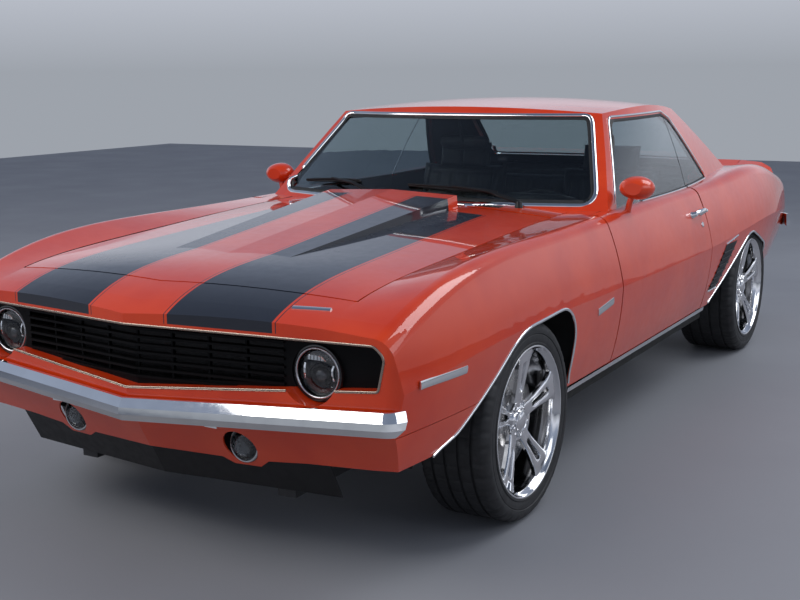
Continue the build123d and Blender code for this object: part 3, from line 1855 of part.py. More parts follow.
seat_base = block(seat_x - 180, seat_x + 180, 120, 480, floor_z + floor_sheet, 300)
front_seat = combine(
    cushion(cushion_profile, seat_x, seat_width, 20),
    added=[cushion(back_profile, seat_x, seat_width, 18), seat_base],
)
front_seats = both_sides(front_seat)
save(front_seats, "front_seats")

rear_seat_low = rear_floor_under(922) + floor_sheet + seat_gap
rear_cushion_profile = [
    (900, rear_seat_low),
    (880, 560),
    (900, 590),
    (1180, 540),
    (1200, rear_seat_low),
]
rear_back_profile = [(1150, 560), (1250, 880), (1300, 900), (1330, 880), (1290, 500), (1200, 492)]
rear_seat = combine(
    cushion(rear_cushion_profile, 0, 1150, 18),
    added=[cushion(rear_back_profile, 0, 1150, 18)],
)
save(rear_seat, "rear_seat")

# Door mirrors on a short foot
mirror_x = 858
mirror_z = 984
mirror_stalk_radius = 12
Shell = namedtuple("Shell", "y half_width half_height")
mirror_shells = [Shell(-384, 34, 24), Shell(-356, 63, 41), Shell(-318, 69, 46)]
with BuildPart() as door_mirror:
    for shell in mirror_shells:
        with BuildSketch(Plane.XZ.offset(-shell.y)):
            with Locations((mirror_x, mirror_z)):
                Ellipse(shell.half_width, shell.half_height)
    loft()
with BuildPart() as mirror_foot:
    with BuildLine() as stalk:
        Polyline((822, -352, 850), (836, -350, 925), (mirror_x - 5, -344, mirror_z))
    with BuildSketch(Plane(origin=stalk.line @ 0, z_dir=stalk.line % 0)):
        Circle(mirror_stalk_radius)
    sweep(transition=Transition.ROUND)
mirror_left = combine(
    door_mirror.part, added=[mirror_foot.part], cut=[body_loft(-seat_gap, 10)]
)
save(mirror_left, "mirror_left")
save(mirror(mirror_left, about=Plane.YZ), "mirror_right")

# Wipers lying at the foot of the windshield
wiper_width = 12
wiper_depth = 9
wiper_boss_radius = 11


def wiper(pivot, tip):
    """One wiper arm with its blade, parked against the glass."""
    with BuildPart() as arm:
        with BuildLine() as route:
            Line(pivot, tip)
        with BuildSketch(Plane(origin=route.line @ 0, z_dir=route.line % 0)):
            Rectangle(wiper_width, wiper_depth)
        sweep()
        with BuildSketch(Plane.XY.offset(pivot[2] - 40)):
            with Locations((pivot[0], pivot[1])):
                Circle(wiper_boss_radius)
        extrude(amount=46)
    return arm.part


wipers = combine(
    wiper((430, -570, 945), (-60, -625, 965)),
    added=[wiper((-200, -610, 952), (-660, -540, 972))],
)
wipers = combine(wipers, cut=[body_loft(-seat_gap, 10), glasshouse(-2)])
save(wipers, "wipers")
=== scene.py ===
"""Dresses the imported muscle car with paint, stripes, chrome, glass, tyres and a cabin.

Metres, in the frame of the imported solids: +Z up, nose towards -Y, the car's left side
towards +X, the origin on the ground in the middle.
"""
from __future__ import annotations

import logging
import math
from dataclasses import dataclass
from enum import Enum
from typing import Iterable, Sequence

import bmesh
import bpy
import numpy as np
from mathutils import Matrix, Vector
from mathutils.bvhtree import BVHTree


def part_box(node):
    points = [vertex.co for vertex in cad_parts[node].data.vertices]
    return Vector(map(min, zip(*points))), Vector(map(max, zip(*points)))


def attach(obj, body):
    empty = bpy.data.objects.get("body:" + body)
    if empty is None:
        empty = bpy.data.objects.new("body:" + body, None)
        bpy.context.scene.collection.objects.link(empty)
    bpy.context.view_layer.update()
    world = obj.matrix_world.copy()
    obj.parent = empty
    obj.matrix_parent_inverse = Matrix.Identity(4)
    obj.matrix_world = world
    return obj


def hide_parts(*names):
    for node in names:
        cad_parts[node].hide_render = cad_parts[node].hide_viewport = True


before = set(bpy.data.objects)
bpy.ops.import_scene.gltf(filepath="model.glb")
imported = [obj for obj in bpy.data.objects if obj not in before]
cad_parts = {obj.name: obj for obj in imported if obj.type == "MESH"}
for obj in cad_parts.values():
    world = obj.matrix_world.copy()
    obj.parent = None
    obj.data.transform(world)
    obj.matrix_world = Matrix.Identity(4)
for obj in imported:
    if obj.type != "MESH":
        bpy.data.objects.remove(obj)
log = logging.getLogger("car")

Point = tuple[float, float, float]
Flat = tuple[float, float]
Colour = tuple[float, float, float]
Corner = tuple[float, float, float]
Outline = list[Flat]
Socket = bpy.types.NodeSocket

FRONT_AXLE_Y = -1.427
REAR_AXLE_Y = 1.316
TYRE_RADIUS = 0.328
TYRE_FACE_X = 0.905
NOSE_TIP_Y = -2.312
NOSE_SLOPE = 92 / 820
SIDES = ((1.0, "left"), (-1.0, "right"))
UP = (0, 0, 1)
FORWARD = (0.0, -1.0, 0.0)


class Grain(Enum):
    """What kind of small relief a finish has."""

    FINE = "fine"
    LEATHER = "leather"
    CLOTH = "cloth"
    CAST = "cast"


class Shader:
    """A material's node tree with one principled shader."""

    def __init__(self, name: str) -> None:
        """Make an empty material that ends in a principled shader.

        Args:
            name: The material's name.
        """
        self.material = bpy.data.materials.new(name)
        self.material.use_nodes = True
        self.tree = self.material.node_tree
        self.surface = self.tree.nodes["Principled BSDF"]

    def put(self, values: dict[str, object]) -> None:
        """Set the shader's own sockets, or link nodes' outputs to them.

        Args:
            values: Numbers, colours or output sockets by the names of the shader's sockets.
        """
        for name, value in values.items():
            self.set(self.surface.inputs[name], value)

    def set(self, target: Socket, value: object) -> None:
        """Set or link any input socket.

        Args:
            target: The input socket.
            value: A number, a colour or an output socket.
        """
        if isinstance(value, Socket):
            self.tree.links.new(value, target)
        elif isinstance(value, tuple) and len(value) == 3 and target.type == "RGBA":
            target.default_value = (*value, 1.0)
        else:
            target.default_value = value

    def node(self, kind: str, inputs: dict, **settings: object) -> bpy.types.Node:
        """Add a node.

        Args:
            kind: The node type without its ShaderNode prefix.
            inputs: Values or sockets by input name or number.
            settings: Attributes of the node.

        Returns:
            The new node.
        """
        made = self.tree.nodes.new("ShaderNode" + kind)
        for key, value in settings.items():
            setattr(made, key, value)
        for key, value in inputs.items():
            self.set(made.inputs[key], value)
        return made

    def math(self, operation: str, a: object, b: object = 0.0) -> Socket:
        """Combine two numbers or sockets with one of the math node's operations."""
        return self.node("Math", {0: a, 1: b}, operation=operation).outputs[0]

    def vector(self, operation: str, a: object, b: object) -> bpy.types.Node:
        """Combine two vectors or sockets with one of the vector node's operations."""
        return self.node("VectorMath", {0: a, 1: b}, operation=operation)

    def ramp(self, value: object, low: float, high: float, to_low: float = 0.0,
             to_high: float = 1.0) -> Socket:
        """Map a range of a value onto another range, clamped.

        Args:
            value: The number or socket to map.
            low: Start of the range.
            high: End of the range.
            to_low: Result at the start.
            to_high: Result at the end.

        Returns:
            The result's socket.
        """
        inputs = {"Value": value, "From Min": low, "From Max": high, "To Min": to_low, "To Max": to_high}
        return self.node("MapRange", inputs).outputs["Result"]

    def place(self) -> Socket:
        """The point on the piece in the row frame, which moves with its body."""
        return self.node("TexCoord", {}).outputs["Object"]

    def axes(self) -> list[Socket]:
        """The point's x, y and z."""
        return list(self.node("SeparateXYZ", {0: self.place()}).outputs)

    def noise(self, scale: float, detail: float = 3.0) -> Socket:
        """A noise value over the piece, near 0.5 on average.

        Args:
            scale: Features per metre.
            detail: Number of octaves.

        Returns:
            The noise's socket.
        """
        inputs = {"Vector": self.place(), "Scale": scale, "Detail": detail}
        return self.node("TexNoise", inputs).outputs[0]

    def blend(self, factor: object, a: object, b: object) -> Socket:
        """Mix two colours.

        Args:
            factor: 0 for the first colour, 1 for the second.
            a: First colour or socket.
            b: Second colour or socket.

        Returns:
            The mixed colour's socket.
        """
        mix = self.node("Mix", {}, data_type="RGBA")
        for key, value in (("Factor", factor), (6, a), (7, b)):
            self.set(mix.inputs[key], value)
        return mix.outputs[2]

    def relief(self, height: object, strength: float, distance: float) -> None:
        """Give the surface a fine relief.

        Args:
            height: The relief's socket.
            strength: How strong it shows.
            distance: Its real height in metres.
        """
        inputs = {"Height": height, "Strength": strength, "Distance": distance}
        self.put({"Normal": self.node("Bump", inputs).outputs[0]})


@dataclass(frozen=True)
class Look:
    """A named material that is built once."""

    name: str

    def material(self) -> bpy.types.Material:
        """Build the material on the first call and give it back on later ones.

        Returns:
            The material.
        """
        known = bpy.data.materials.get(self.name)
        if known:
            return known
        shader = Shader(self.name)
        self.fill(shader)
        return shader.material

    def fill(self, shader: Shader) -> None:
        """Set the shader's sockets, which each kind of look does in its own way."""
        raise NotImplementedError


@dataclass(frozen=True)
class Finish(Look):
    """A plain surface finish with a little variation of colour, gloss and relief.

    The grain holds its kind, its features per metre and its depth in metres.
    """

    colour: Colour
    roughness: float = 0.4
    metallic: float = 0.0
    coat: float = 0.0
    coat_roughness: float = 0.03
    variation: float = 0.12
    scale: float = 14.0
    smudge: float = 0.06
    grain: tuple[Grain, float, float] | None = (Grain.FINE, 900.0, 0.00006)
    gloss: float = 0.5

    def fill(self, shader: Shader) -> None:
        """Set a clouded colour, a smudged gloss and the grain.

        Args:
            shader: The material being built.
        """
        dark = tuple(c * (1 - self.variation) for c in self.colour)
        light = tuple(min(1.0, c * (1 + self.variation)) for c in self.colour)
        cloud = shader.ramp(shader.noise(self.scale), 0.35, 0.65)
        shader.put({"Base Color": shader.blend(cloud, dark, light), "Metallic": self.metallic})
        smooth, rough = max(0.0, self.roughness - self.smudge), self.roughness + self.smudge
        shader.put({
            "Roughness": shader.ramp(shader.noise(self.scale * 2.7, 4.0), 0.3, 0.7, smooth, rough),
            "Coat Weight": self.coat,
            "Coat Roughness": self.coat_roughness,
            "Specular IOR Level": self.gloss,
        })
        if self.grain:
            self.add_grain(shader, *self.grain)

    @staticmethod
    def add_grain(shader: Shader, kind: Grain, scale: float, depth: float) -> None:
        """Add the finish's small relief.

        Args:
            shader: The material being built.
            kind: What the relief looks like.
            scale: Its features per metre.
            depth: Its depth in metres.
        """
        if kind is Grain.LEATHER:
            inputs = {"Vector": shader.place(), "Scale": scale}
            cells = shader.node("TexVoronoi", inputs, feature="DISTANCE_TO_EDGE").outputs["Distance"]
            height = shader.ramp(cells, 0.0, 0.12)
        elif kind is Grain.CLOTH:
            x, y, z = shader.axes()
            warp, weft = (shader.math("SINE", shader.math("MULTIPLY", thread, scale * 6.0))
                          for thread in (shader.math("ADD", x, z), y))
            height = shader.math("ADD", warp, weft)
        else:
            height = shader.noise(scale, 6.0 if kind is Grain.CAST else 2.0)
        shader.relief(height, 0.5, depth)


@dataclass(frozen=True)
class Stripes:
    """The two dark stripes over the hood, with a fine outline along each edge."""

    inner: float = 0.152
    outer_front: float = 0.497
    outer_rear: float = 0.44
    front_y: float = -2.3
    rear_y: float = -0.84
    line_gap: float = 0.009
    line_width: float = 0.003
    lower_edge: float = 0.742
    softness: float = 0.00025

    def mask(self, shader: Shader) -> Socket:
        """Where the stripes are, from 0 to 1.

        Args:
            shader: The paint being built.

        Returns:
            The mask's socket.
        """
        x, y, z = shader.axes()
        half = shader.math("ABSOLUTE", x)
        outer = shader.ramp(y, self.front_y, self.rear_y, self.outer_front, self.outer_rear)
        from_inner = shader.math("SUBTRACT", half, self.inner)
        from_outer = shader.math("SUBTRACT", outer, half)
        inside = shader.math("MINIMUM", from_inner, from_outer)
        main = self.step(shader, inside, 0.0)
        line = shader.math(
            "MULTIPLY",
            self.step(shader, inside, -self.line_gap - self.line_width),
            shader.math("SUBTRACT", 1.0, self.step(shader, inside, -self.line_gap)),
        )
        both = shader.math("MAXIMUM", main, line)
        ahead = shader.math("SUBTRACT", 1.0, self.step(shader, y, self.rear_y))
        above = self.step(shader, z, self.lower_edge)
        return shader.math("MULTIPLY", both, shader.math("MULTIPLY", ahead, above))

    def step(self, shader: Shader, value: object, edge: float) -> Socket:
        """A sharp step from 0 to 1 at an edge, a little soft on both sides."""
        return shader.ramp(value, edge - self.softness, edge + self.softness)


@dataclass(frozen=True)
class Paint(Look):
    """Glossy clear-coated paint, with or without the dark stripes and a dark lining inside."""

    colour: Colour = (0.6, 0.034, 0.003)
    flake: Colour = (0.68, 0.05, 0.006)
    stripe: Colour = (0.01, 0.013, 0.022)
    stripes: Stripes | None = None
    lining: Colour | None = None
    core_height: float = 0.72

    def fill(self, shader: Shader) -> None:
        """Set the paint's colours, its clear coat and a faint orange peel.

        Args:
            shader: The material being built.
        """
        cloud = shader.ramp(shader.noise(5.0, 2.0), 0.35, 0.65)
        colour = shader.blend(cloud, self.colour, self.flake)
        if self.stripes:
            colour = shader.blend(self.stripes.mask(shader), colour, self.stripe)
        if self.lining:
            colour = shader.blend(self.inward(shader), colour, self.lining)
        shader.put({
            "Base Color": colour,
            "Roughness": shader.ramp(shader.noise(30.0), 0.3, 0.7, 0.3, 0.36),
            "Specular IOR Level": 0.15,
            "Coat Weight": 1.0,
            "Coat Roughness": 0.02,
            "Coat IOR": 1.55,
        })
        shader.relief(shader.noise(260.0, 2.0), 0.25, 0.00001)

    def inward(self, shader: Shader) -> Socket:
        """Where a face looks towards the middle of the car, which is trimmed and not painted.

        Args:
            shader: The paint being built.

        Returns:
            The mask's socket.
        """
        away = shader.vector("SUBTRACT", shader.place(), (0.0, 0.0, self.core_height)).outputs[0]
        flat = shader.vector("MULTIPLY", away, (1.0, 0.0, 1.0)).outputs[0]
        facing = shader.node("TexCoord", {}).outputs["Normal"]
        lean = shader.vector("DOT_PRODUCT", flat, facing).outputs["Value"]
        return shader.ramp(lean, -0.05, -0.03, 1.0, 0.0)


@dataclass(frozen=True)
class Glass(Look):
    """Clear or tinted glass."""

    colour: Colour
    roughness: float = 0.0

    def fill(self, shader: Shader) -> None:
        """Set the glass's tint, which varies a little.

        Args:
            shader: The material being built.
        """
        tint = tuple(min(1.0, c * 1.04) for c in self.colour)
        shader.put({
            "Base Color": shader.blend(shader.noise(3.0, 1.0), self.colour, tint),
            "Transmission Weight": 1.0,
            "Roughness": self.roughness,
            "IOR": 1.45,
        })


LINING_BLACK: Colour = (0.01, 0.01, 0.011)
PAINT = Paint("body_paint")
LINED_PAINT = Paint("lined_paint", lining=LINING_BLACK)
STRIPED_PAINT = Paint("striped_paint", stripes=Stripes())
LINED_STRIPED_PAINT = Paint("lined_striped_paint", stripes=Stripes(), lining=LINING_BLACK)
POLISHED = (Grain.FINE, 900.0, 0.000004)
CHROME = Finish("bright_chrome", (0.86, 0.87, 0.88), 0.05, 1.0, variation=0.03, smudge=0.02, grain=POLISHED)
WHEEL_CHROME = Finish("wheel_chrome", (0.82, 0.83, 0.85), 0.06, 1.0, variation=0.03, smudge=0.025,
                      grain=POLISHED)
BRONZE_TRIM = Finish("trim_grey_bronze", (0.42, 0.33, 0.27), 0.28, 1.0, variation=0.06)
SATIN_BLACK = Finish("satin_black", (0.006, 0.006, 0.007), 0.42, variation=0.2, gloss=0.3)
GLOSS_BLACK = Finish("gloss_black", (0.008, 0.008, 0.009), 0.22, coat=0.4, variation=0.2)
DEEP_BLACK = Finish("grille_black", (0.0025, 0.0025, 0.003), 0.48, variation=0.2, gloss=0.12)
UNDER_BLACK = Finish("underbody_black", (0.012, 0.012, 0.011), 0.72, variation=0.3, gloss=0.3,
                     grain=(Grain.CAST, 220.0, 0.0006))
FRAME_BLACK = Finish("chassis_black", (0.022, 0.022, 0.023), 0.5, variation=0.25,
                     grain=(Grain.CAST, 400.0, 0.0002))
CAST_METAL = Finish("cast_metal", (0.2, 0.19, 0.18), 0.55, 0.85, variation=0.2,
                    grain=(Grain.CAST, 300.0, 0.0003))
PIPE_STEEL = Finish("pipe_steel", (0.42, 0.39, 0.36), 0.34, 1.0, variation=0.2, scale=6.0, smudge=0.12)
TANK_STEEL = Finish("tank_steel", (0.4, 0.4, 0.39), 0.45, 0.9, variation=0.15, smudge=0.1)
RUBBER = Finish("tyre_rubber", (0.018, 0.018, 0.019), 0.62, variation=0.25, scale=24.0,
                grain=(Grain.FINE, 700.0, 0.0001))
SEAL_RUBBER = Finish("seal_rubber", (0.012, 0.012, 0.012), 0.55, variation=0.2)
LEATHER = Finish("seat_leather", (0.009, 0.009, 0.01), 0.42, variation=0.2, gloss=0.35,
                 grain=(Grain.LEATHER, 420.0, 0.0004))
CABIN_PLASTIC = Finish("cabin_plastic", (0.009, 0.009, 0.01), 0.5, variation=0.15, gloss=0.3,
                       grain=(Grain.LEATHER, 600.0, 0.0002))
DISC_STEEL = Finish("brake_disc", (0.45, 0.44, 0.43), 0.3, 1.0, variation=0.08, smudge=0.08)
LINER_BLACK = Finish("arch_liner", (0.012, 0.012, 0.012), 0.8, variation=0.3,
                     grain=(Grain.CAST, 150.0, 0.0008))
SATIN_CHROME = Finish("satin_chrome", (0.55, 0.55, 0.56), 0.25, 1.0, variation=0.05)
LAMP_BLACK = Finish("lamp_black", (0.006, 0.006, 0.007), 0.3, coat=0.3, variation=0.2)
LAMP_GREY = Finish("lamp_reflector", (0.1, 0.105, 0.11), 0.25, 0.9, variation=0.1)
LAMP_GLASS_DARK = Finish("projector_glass", (0.012, 0.014, 0.018), 0.05, coat=1.0, variation=0.2, grain=None)
FILTER_PAPER = Finish("filter_paper", (0.55, 0.5, 0.38), 0.85, variation=0.1,
                      grain=(Grain.CLOTH, 300.0, 0.00006))
PALE_MARK = Finish("dial_marks", (0.62, 0.63, 0.6), 0.5, variation=0.05, grain=None)
MIRROR = Finish("mirror_glass", (0.75, 0.78, 0.8), 0.02, 1.0, variation=0.02, smudge=0.01, grain=None)
WINDOW = Glass("window_glass", (0.6, 0.68, 0.7))
LENS = Glass("lamp_lens", (0.93, 0.95, 0.97))
RED_LENS = Glass("red_lens", (0.55, 0.01, 0.012), 0.12)

NODE_FINISHES: tuple[tuple[Look, str], ...] = (
    (LINED_STRIPED_PAINT, "hood"),
    (STRIPED_PAINT, "nose_panel"),
    (LINED_PAINT, "front_fenders roof cowl_panel quarter_panels trunk_lid tail_panel door_left door_right"),
    (PAINT, "front_valance spoiler spoiler_caps mirror_left mirror_right"),
    (WINDOW, "fixed_glass door_glass_left door_glass_right"),
    (LENS, "lamp_lenses"),
    (RED_LENS, "tail_lamps"),
    (CHROME, "front_bumper rear_bumper rocker_mouldings"),
    (DEEP_BLACK, "grille"),
    (SATIN_BLACK, "front_lamps air_dam wipers"),
    (LINER_BLACK, "wheelhouses"),
    (UNDER_BLACK, "floor_pan"),
    (FRAME_BLACK, "front_subframe rear_axle hinge_brackets"),
    (CAST_METAL, "drivetrain knuckle_left knuckle_right"),
    (PIPE_STEEL, "exhaust"),
    (TANK_STEEL, "fuel_tank"),
    (CABIN_PLASTIC, "dashboard steering_wheel"),
    (LEATHER, "front_seats rear_seat"),
    (RUBBER, "tyre_fl tyre_fr tyre_rl tyre_rr"),
    (WHEEL_CHROME, "rim_fl rim_fr rim_rl rim_rr"),
)


def dress_nodes() -> None:
    """Give every carried-over node its material."""
    for look, nodes in NODE_FINISHES:
        for node in nodes.split():
            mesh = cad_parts[node].data
            mesh.materials.clear()
            mesh.materials.append(look.material())
            for polygon in mesh.polygons:
                polygon.use_smooth = True


def circle(count: int) -> Outline:
    """Points on a circle of radius 1, once round.

    Args:
        count: How many.

    Returns:
        Cosines and sines.
    """
    turns = (2 * math.pi * k / count for k in range(count))
    return [(math.cos(a), math.sin(a)) for a in turns]


def neighbours(points: Sequence[Vector], index: int, closed: bool) -> tuple[Vector, Vector]:
    """Find the points before and after one of a line's points.

    Args:
        points: The line's points.
        index: Which one.
        closed: Whether the line closes on itself.

    Returns:
        The point before and the point after; an open line's end stands for its own neighbour.
    """
    if closed:
        return points[index - 1], points[(index + 1) % len(points)]
    return points[max(index - 1, 0)], points[min(index + 1, len(points) - 1)]


def rounded(corners: Sequence[Corner], steps: int = 9) -> Outline:
    """Round the corners of a closed outline.

    Args:
        corners: Points as (across, up, radius).
        steps: Points on each rounded corner.

    Returns:
        The outline's points.
    """
    outline: Outline = []
    for index, (across, up, radius) in enumerate(corners):
        corner = Vector((across, up))
        if not radius:
            outline.append((across, up))
            continue
        before = (Vector(corners[index - 1][:2]) - corner).normalized()
        after = (Vector(corners[(index + 1) % len(corners)][:2]) - corner).normalized()
        half = before.angle(after) / 2
        centre = corner + (before + after).normalized() * radius / math.sin(half)
        start = corner + before * radius / math.tan(half)
        end = corner + after * radius / math.tan(half)
        for step in range(steps):
            chord = start.lerp(end, step / (steps - 1))
            outline.append(tuple(centre + (chord - centre).normalized() * radius))
    return outline


def resample(path: Sequence[Sequence[float]], step: float, closed: bool = False) -> list[tuple[float, ...]]:
    """Space points evenly along a line.

    Args:
        path: The line's points, in two or three dimensions.
        step: Distance between the new points.
        closed: Whether the last point joins the first.

    Returns:
        The new points.
    """
    points = np.array(list(path) + ([path[0]] if closed else []), float)
    lengths = np.concatenate([[0], np.cumsum(np.linalg.norm(np.diff(points, axis=0), axis=1))])
    count = max(2, int(round(lengths[-1] / step)))
    stations = np.linspace(0, lengths[-1], count + 1)
    if closed:
        stations = stations[:-1]
    columns = [np.interp(stations, lengths, points[:, k]) for k in range(points.shape[1])]
    return [tuple(float(v) for v in row) for row in zip(*columns)]


def spread(outline: Outline, distance: float) -> Outline:
    """Move a closed outline outwards.

    Args:
        outline: The outline's points.
        distance: How far it grows, negative to shrink it.

    Returns:
        The moved points.
    """
    points = np.array(outline, float)
    after, before = np.roll(points, -1, axis=0), np.roll(points, 1, axis=0)
    area = np.sum(points[:, 0] * after[:, 1] - after[:, 0] * points[:, 1])
    along = after - before
    along /= np.maximum(np.linalg.norm(along, axis=1, keepdims=True), 1e-9)
    outward = np.stack([along[:, 1], -along[:, 0]], axis=1) * np.sign(area)
    return [tuple(map(float, p)) for p in points + outward * distance]


# Points closer than WELD are one, and folds of more than EDGE_FOLD degrees are rounded. A cast point
# further than JUMP from its neighbours is pulled back. Thin sheets stand STAND_OFF off their skin.
WELD = 0.00002
EDGE_FOLD = 35.0
JUMP = 0.004
STAND_OFF = 0.0012


class Shape:
    """Collects the points and faces of one new piece in the row frame."""

    def __init__(self, name: str) -> None:
        """Start an empty piece.

        Args:
            name: The piece's name.
        """
        self.name = name
        self.points: list[Point] = []
        self.faces: list[tuple[int, ...]] = []
        self.slots: list[int] = []
        self.slot = 0

    def add(self, points: Iterable[Sequence[float]], faces: Iterable[Sequence[int]]) -> None:
        """Add points and the faces between them.

        Args:
            points: New points.
            faces: Faces that count from the first new point.
        """
        start = len(self.points)
        self.points += [(float(p[0]), float(p[1]), float(p[2])) for p in points]
        for face in faces:
            self.faces.append(tuple(start + i for i in face))
            self.slots.append(self.slot)

    def grid(self, rows: Sequence[Sequence[Sequence[float]]], ring: bool = False, loop: bool = False,
             caps: bool = False) -> None:
        """Skin rows of points.

        Args:
            rows: Rows of equal length.
            ring: Whether each row closes on itself.
            loop: Whether the last row joins the first.
            caps: Whether the first and last row are filled.
        """
        count, width = len(rows), len(rows[0])
        faces: list[tuple[int, ...]] = []
        for i in range(count if loop else count - 1):
            for j in range(width if ring else width - 1):
                k, m = (i + 1) % count, (j + 1) % width
                faces.append((i * width + j, i * width + m, k * width + m, k * width + j))
        if caps:
            faces.append(tuple(reversed(range(width))))
            faces.append(tuple((count - 1) * width + j for j in range(width)))
        self.add([p for row in rows for p in row], faces)

    def box(self, low: Point, high: Point) -> None:
        """Add a box between two corners."""
        (a, b, c), (d, e, f) = low, high
        self.grid([[(a, b, z), (d, b, z), (d, e, z), (a, e, z)] for z in (c, f)], ring=True, caps=True)

    def lathe(self, profile: Sequence[Flat], centre: Point, axis: Point, segments: int = 48,
              ring: bool = False) -> None:
        """Turn a profile round an axis.

        Args:
            profile: Points as (along the axis, radius).
            centre: Where the axis starts.
            axis: The axis's direction.
            segments: Steps round the axis.
            ring: Whether the profile closes on itself.
        """
        along = Vector(axis).normalized()
        across = along.orthogonal().normalized()
        up = along.cross(across)
        rows = []
        for cos, sin in circle(segments):
            out = across * cos + up * sin
            rows.append([Vector(centre) + along * a + out * r for a, r in profile])
        self.grid(rows, ring=ring, loop=True)

    def sweep(self, points: Sequence[Vector], normals: Sequence[Vector], profile: Sequence[Flat],
              closed: bool = False) -> None:
        """Sweep a profile along a line with known normals.

        Args:
            points: The line's points.
            normals: The outward direction at each point.
            profile: Points as (to the side, outwards).
            closed: Whether the line closes on itself.
        """
        rows = []
        for i, (point, normal) in enumerate(zip(points, normals)):
            behind, ahead = neighbours(points, i, closed)
            along = (ahead - behind).normalized()
            side = along.cross(normal).normalized()
            out = side.cross(along).normalized()
            rows.append([point + side * a + out * b for a, b in profile])
        self.grid(rows, ring=True, loop=closed, caps=not closed)

    def strip(self, skin: Skin, side: Side, path: Sequence[Flat], width: float, height: float,
              closed: bool = False) -> None:
        """Lay a low half-round strip on a skin.

        Args:
            skin: What it lies on.
            side: Where its line is cast from.
            path: The line in that view.
            width: The strip's width.
            height: How far it stands off.
            closed: Whether the line closes on itself.
        """
        points, normals = skin.line(side, path)
        self.sweep(points, normals, half_round(width, height), closed)

    def tube(self, path: Sequence[Sequence[float]], radius: float, sides: int = 12,
             closed: bool = False) -> None:
        """Sweep a circle along a line.

        Args:
            path: The line's points.
            radius: The tube's radius.
            sides: Points round the tube.
            closed: Whether the line closes on itself.
        """
        points = [Vector(p) for p in path]
        normal = (points[1] - points[0]).orthogonal().normalized()
        normals = []
        for i in range(len(points)):
            behind, ahead = neighbours(points, i, closed)
            along = (ahead - behind).normalized()
            normal = (normal - along * normal.dot(along)).normalized()
            normals.append(normal)
        self.sweep(points, normals, [(radius * cos, radius * sin) for cos, sin in circle(sides)], closed)

    def flip(self) -> None:
        """Move everything so far to the car's other side."""
        self.points = [(-x, y, z) for x, y, z in self.points]

    def mirror(self) -> None:
        """Add the mirror image of everything so far on the car's other side."""
        start = len(self.points)
        self.points += [(-x, y, z) for x, y, z in self.points]
        self.faces += [tuple(start + i for i in reversed(face)) for face in self.faces]
        self.slots += self.slots

    def build(self, body: str, *finishes: Look, bevel: float = 0.0, sharp: float = 40.0,
              wall: float = 0.0) -> bpy.types.Object:
        """Turn the points and faces into an object that rides on a body.

        Args:
            body: The body it moves with.
            finishes: One finish per slot.
            bevel: Width of the rounded edges.
            sharp: Faces that meet at more than this angle in degrees keep a crisp edge.
            wall: Thickness given to an open sheet, inwards.

        Returns:
            The new object.
        """
        mesh = bpy.data.meshes.new(self.name)
        mesh.from_pydata(self.points, [], self.faces)
        mesh.polygons.foreach_set("material_index", self.slots)
        work = bmesh.new()
        work.from_mesh(mesh)
        bmesh.ops.remove_doubles(work, verts=work.verts, dist=WELD)
        bmesh.ops.recalc_face_normals(work, faces=work.faces)
        work.to_mesh(mesh)
        work.free()
        for finish in finishes:
            mesh.materials.append(finish.material())
        mesh.polygons.foreach_set("use_smooth", [True] * len(mesh.polygons))
        mesh.set_sharp_from_angle(angle=math.radians(sharp))
        made = bpy.data.objects.new(self.name, mesh)
        bpy.context.scene.collection.objects.link(made)
        if wall:
            solid = made.modifiers.new("wall", "SOLIDIFY")
            solid.thickness, solid.offset = wall, -1.0
        if bevel:
            edge = made.modifiers.new("edges", "BEVEL")
            edge.width, edge.segments, edge.harden_normals = bevel, 2, True
            edge.limit_method, edge.angle_limit = "ANGLE", math.radians(EDGE_FOLD)
        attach(made, body)
        return made


class Side(Enum):
    """Where a line is cast onto the car from."""

    FRONT = (0, 2, (None, -4.0, None), (0.0, 1.0, 0.0))
    REAR = (0, 2, (None, 4.0, None), (0.0, -1.0, 0.0))
    LEFT = (1, 2, (2.0, None, None), (-1.0, 0.0, 0.0))
    TOP = (0, 1, (None, None, 3.0), (0.0, 0.0, -1.0))


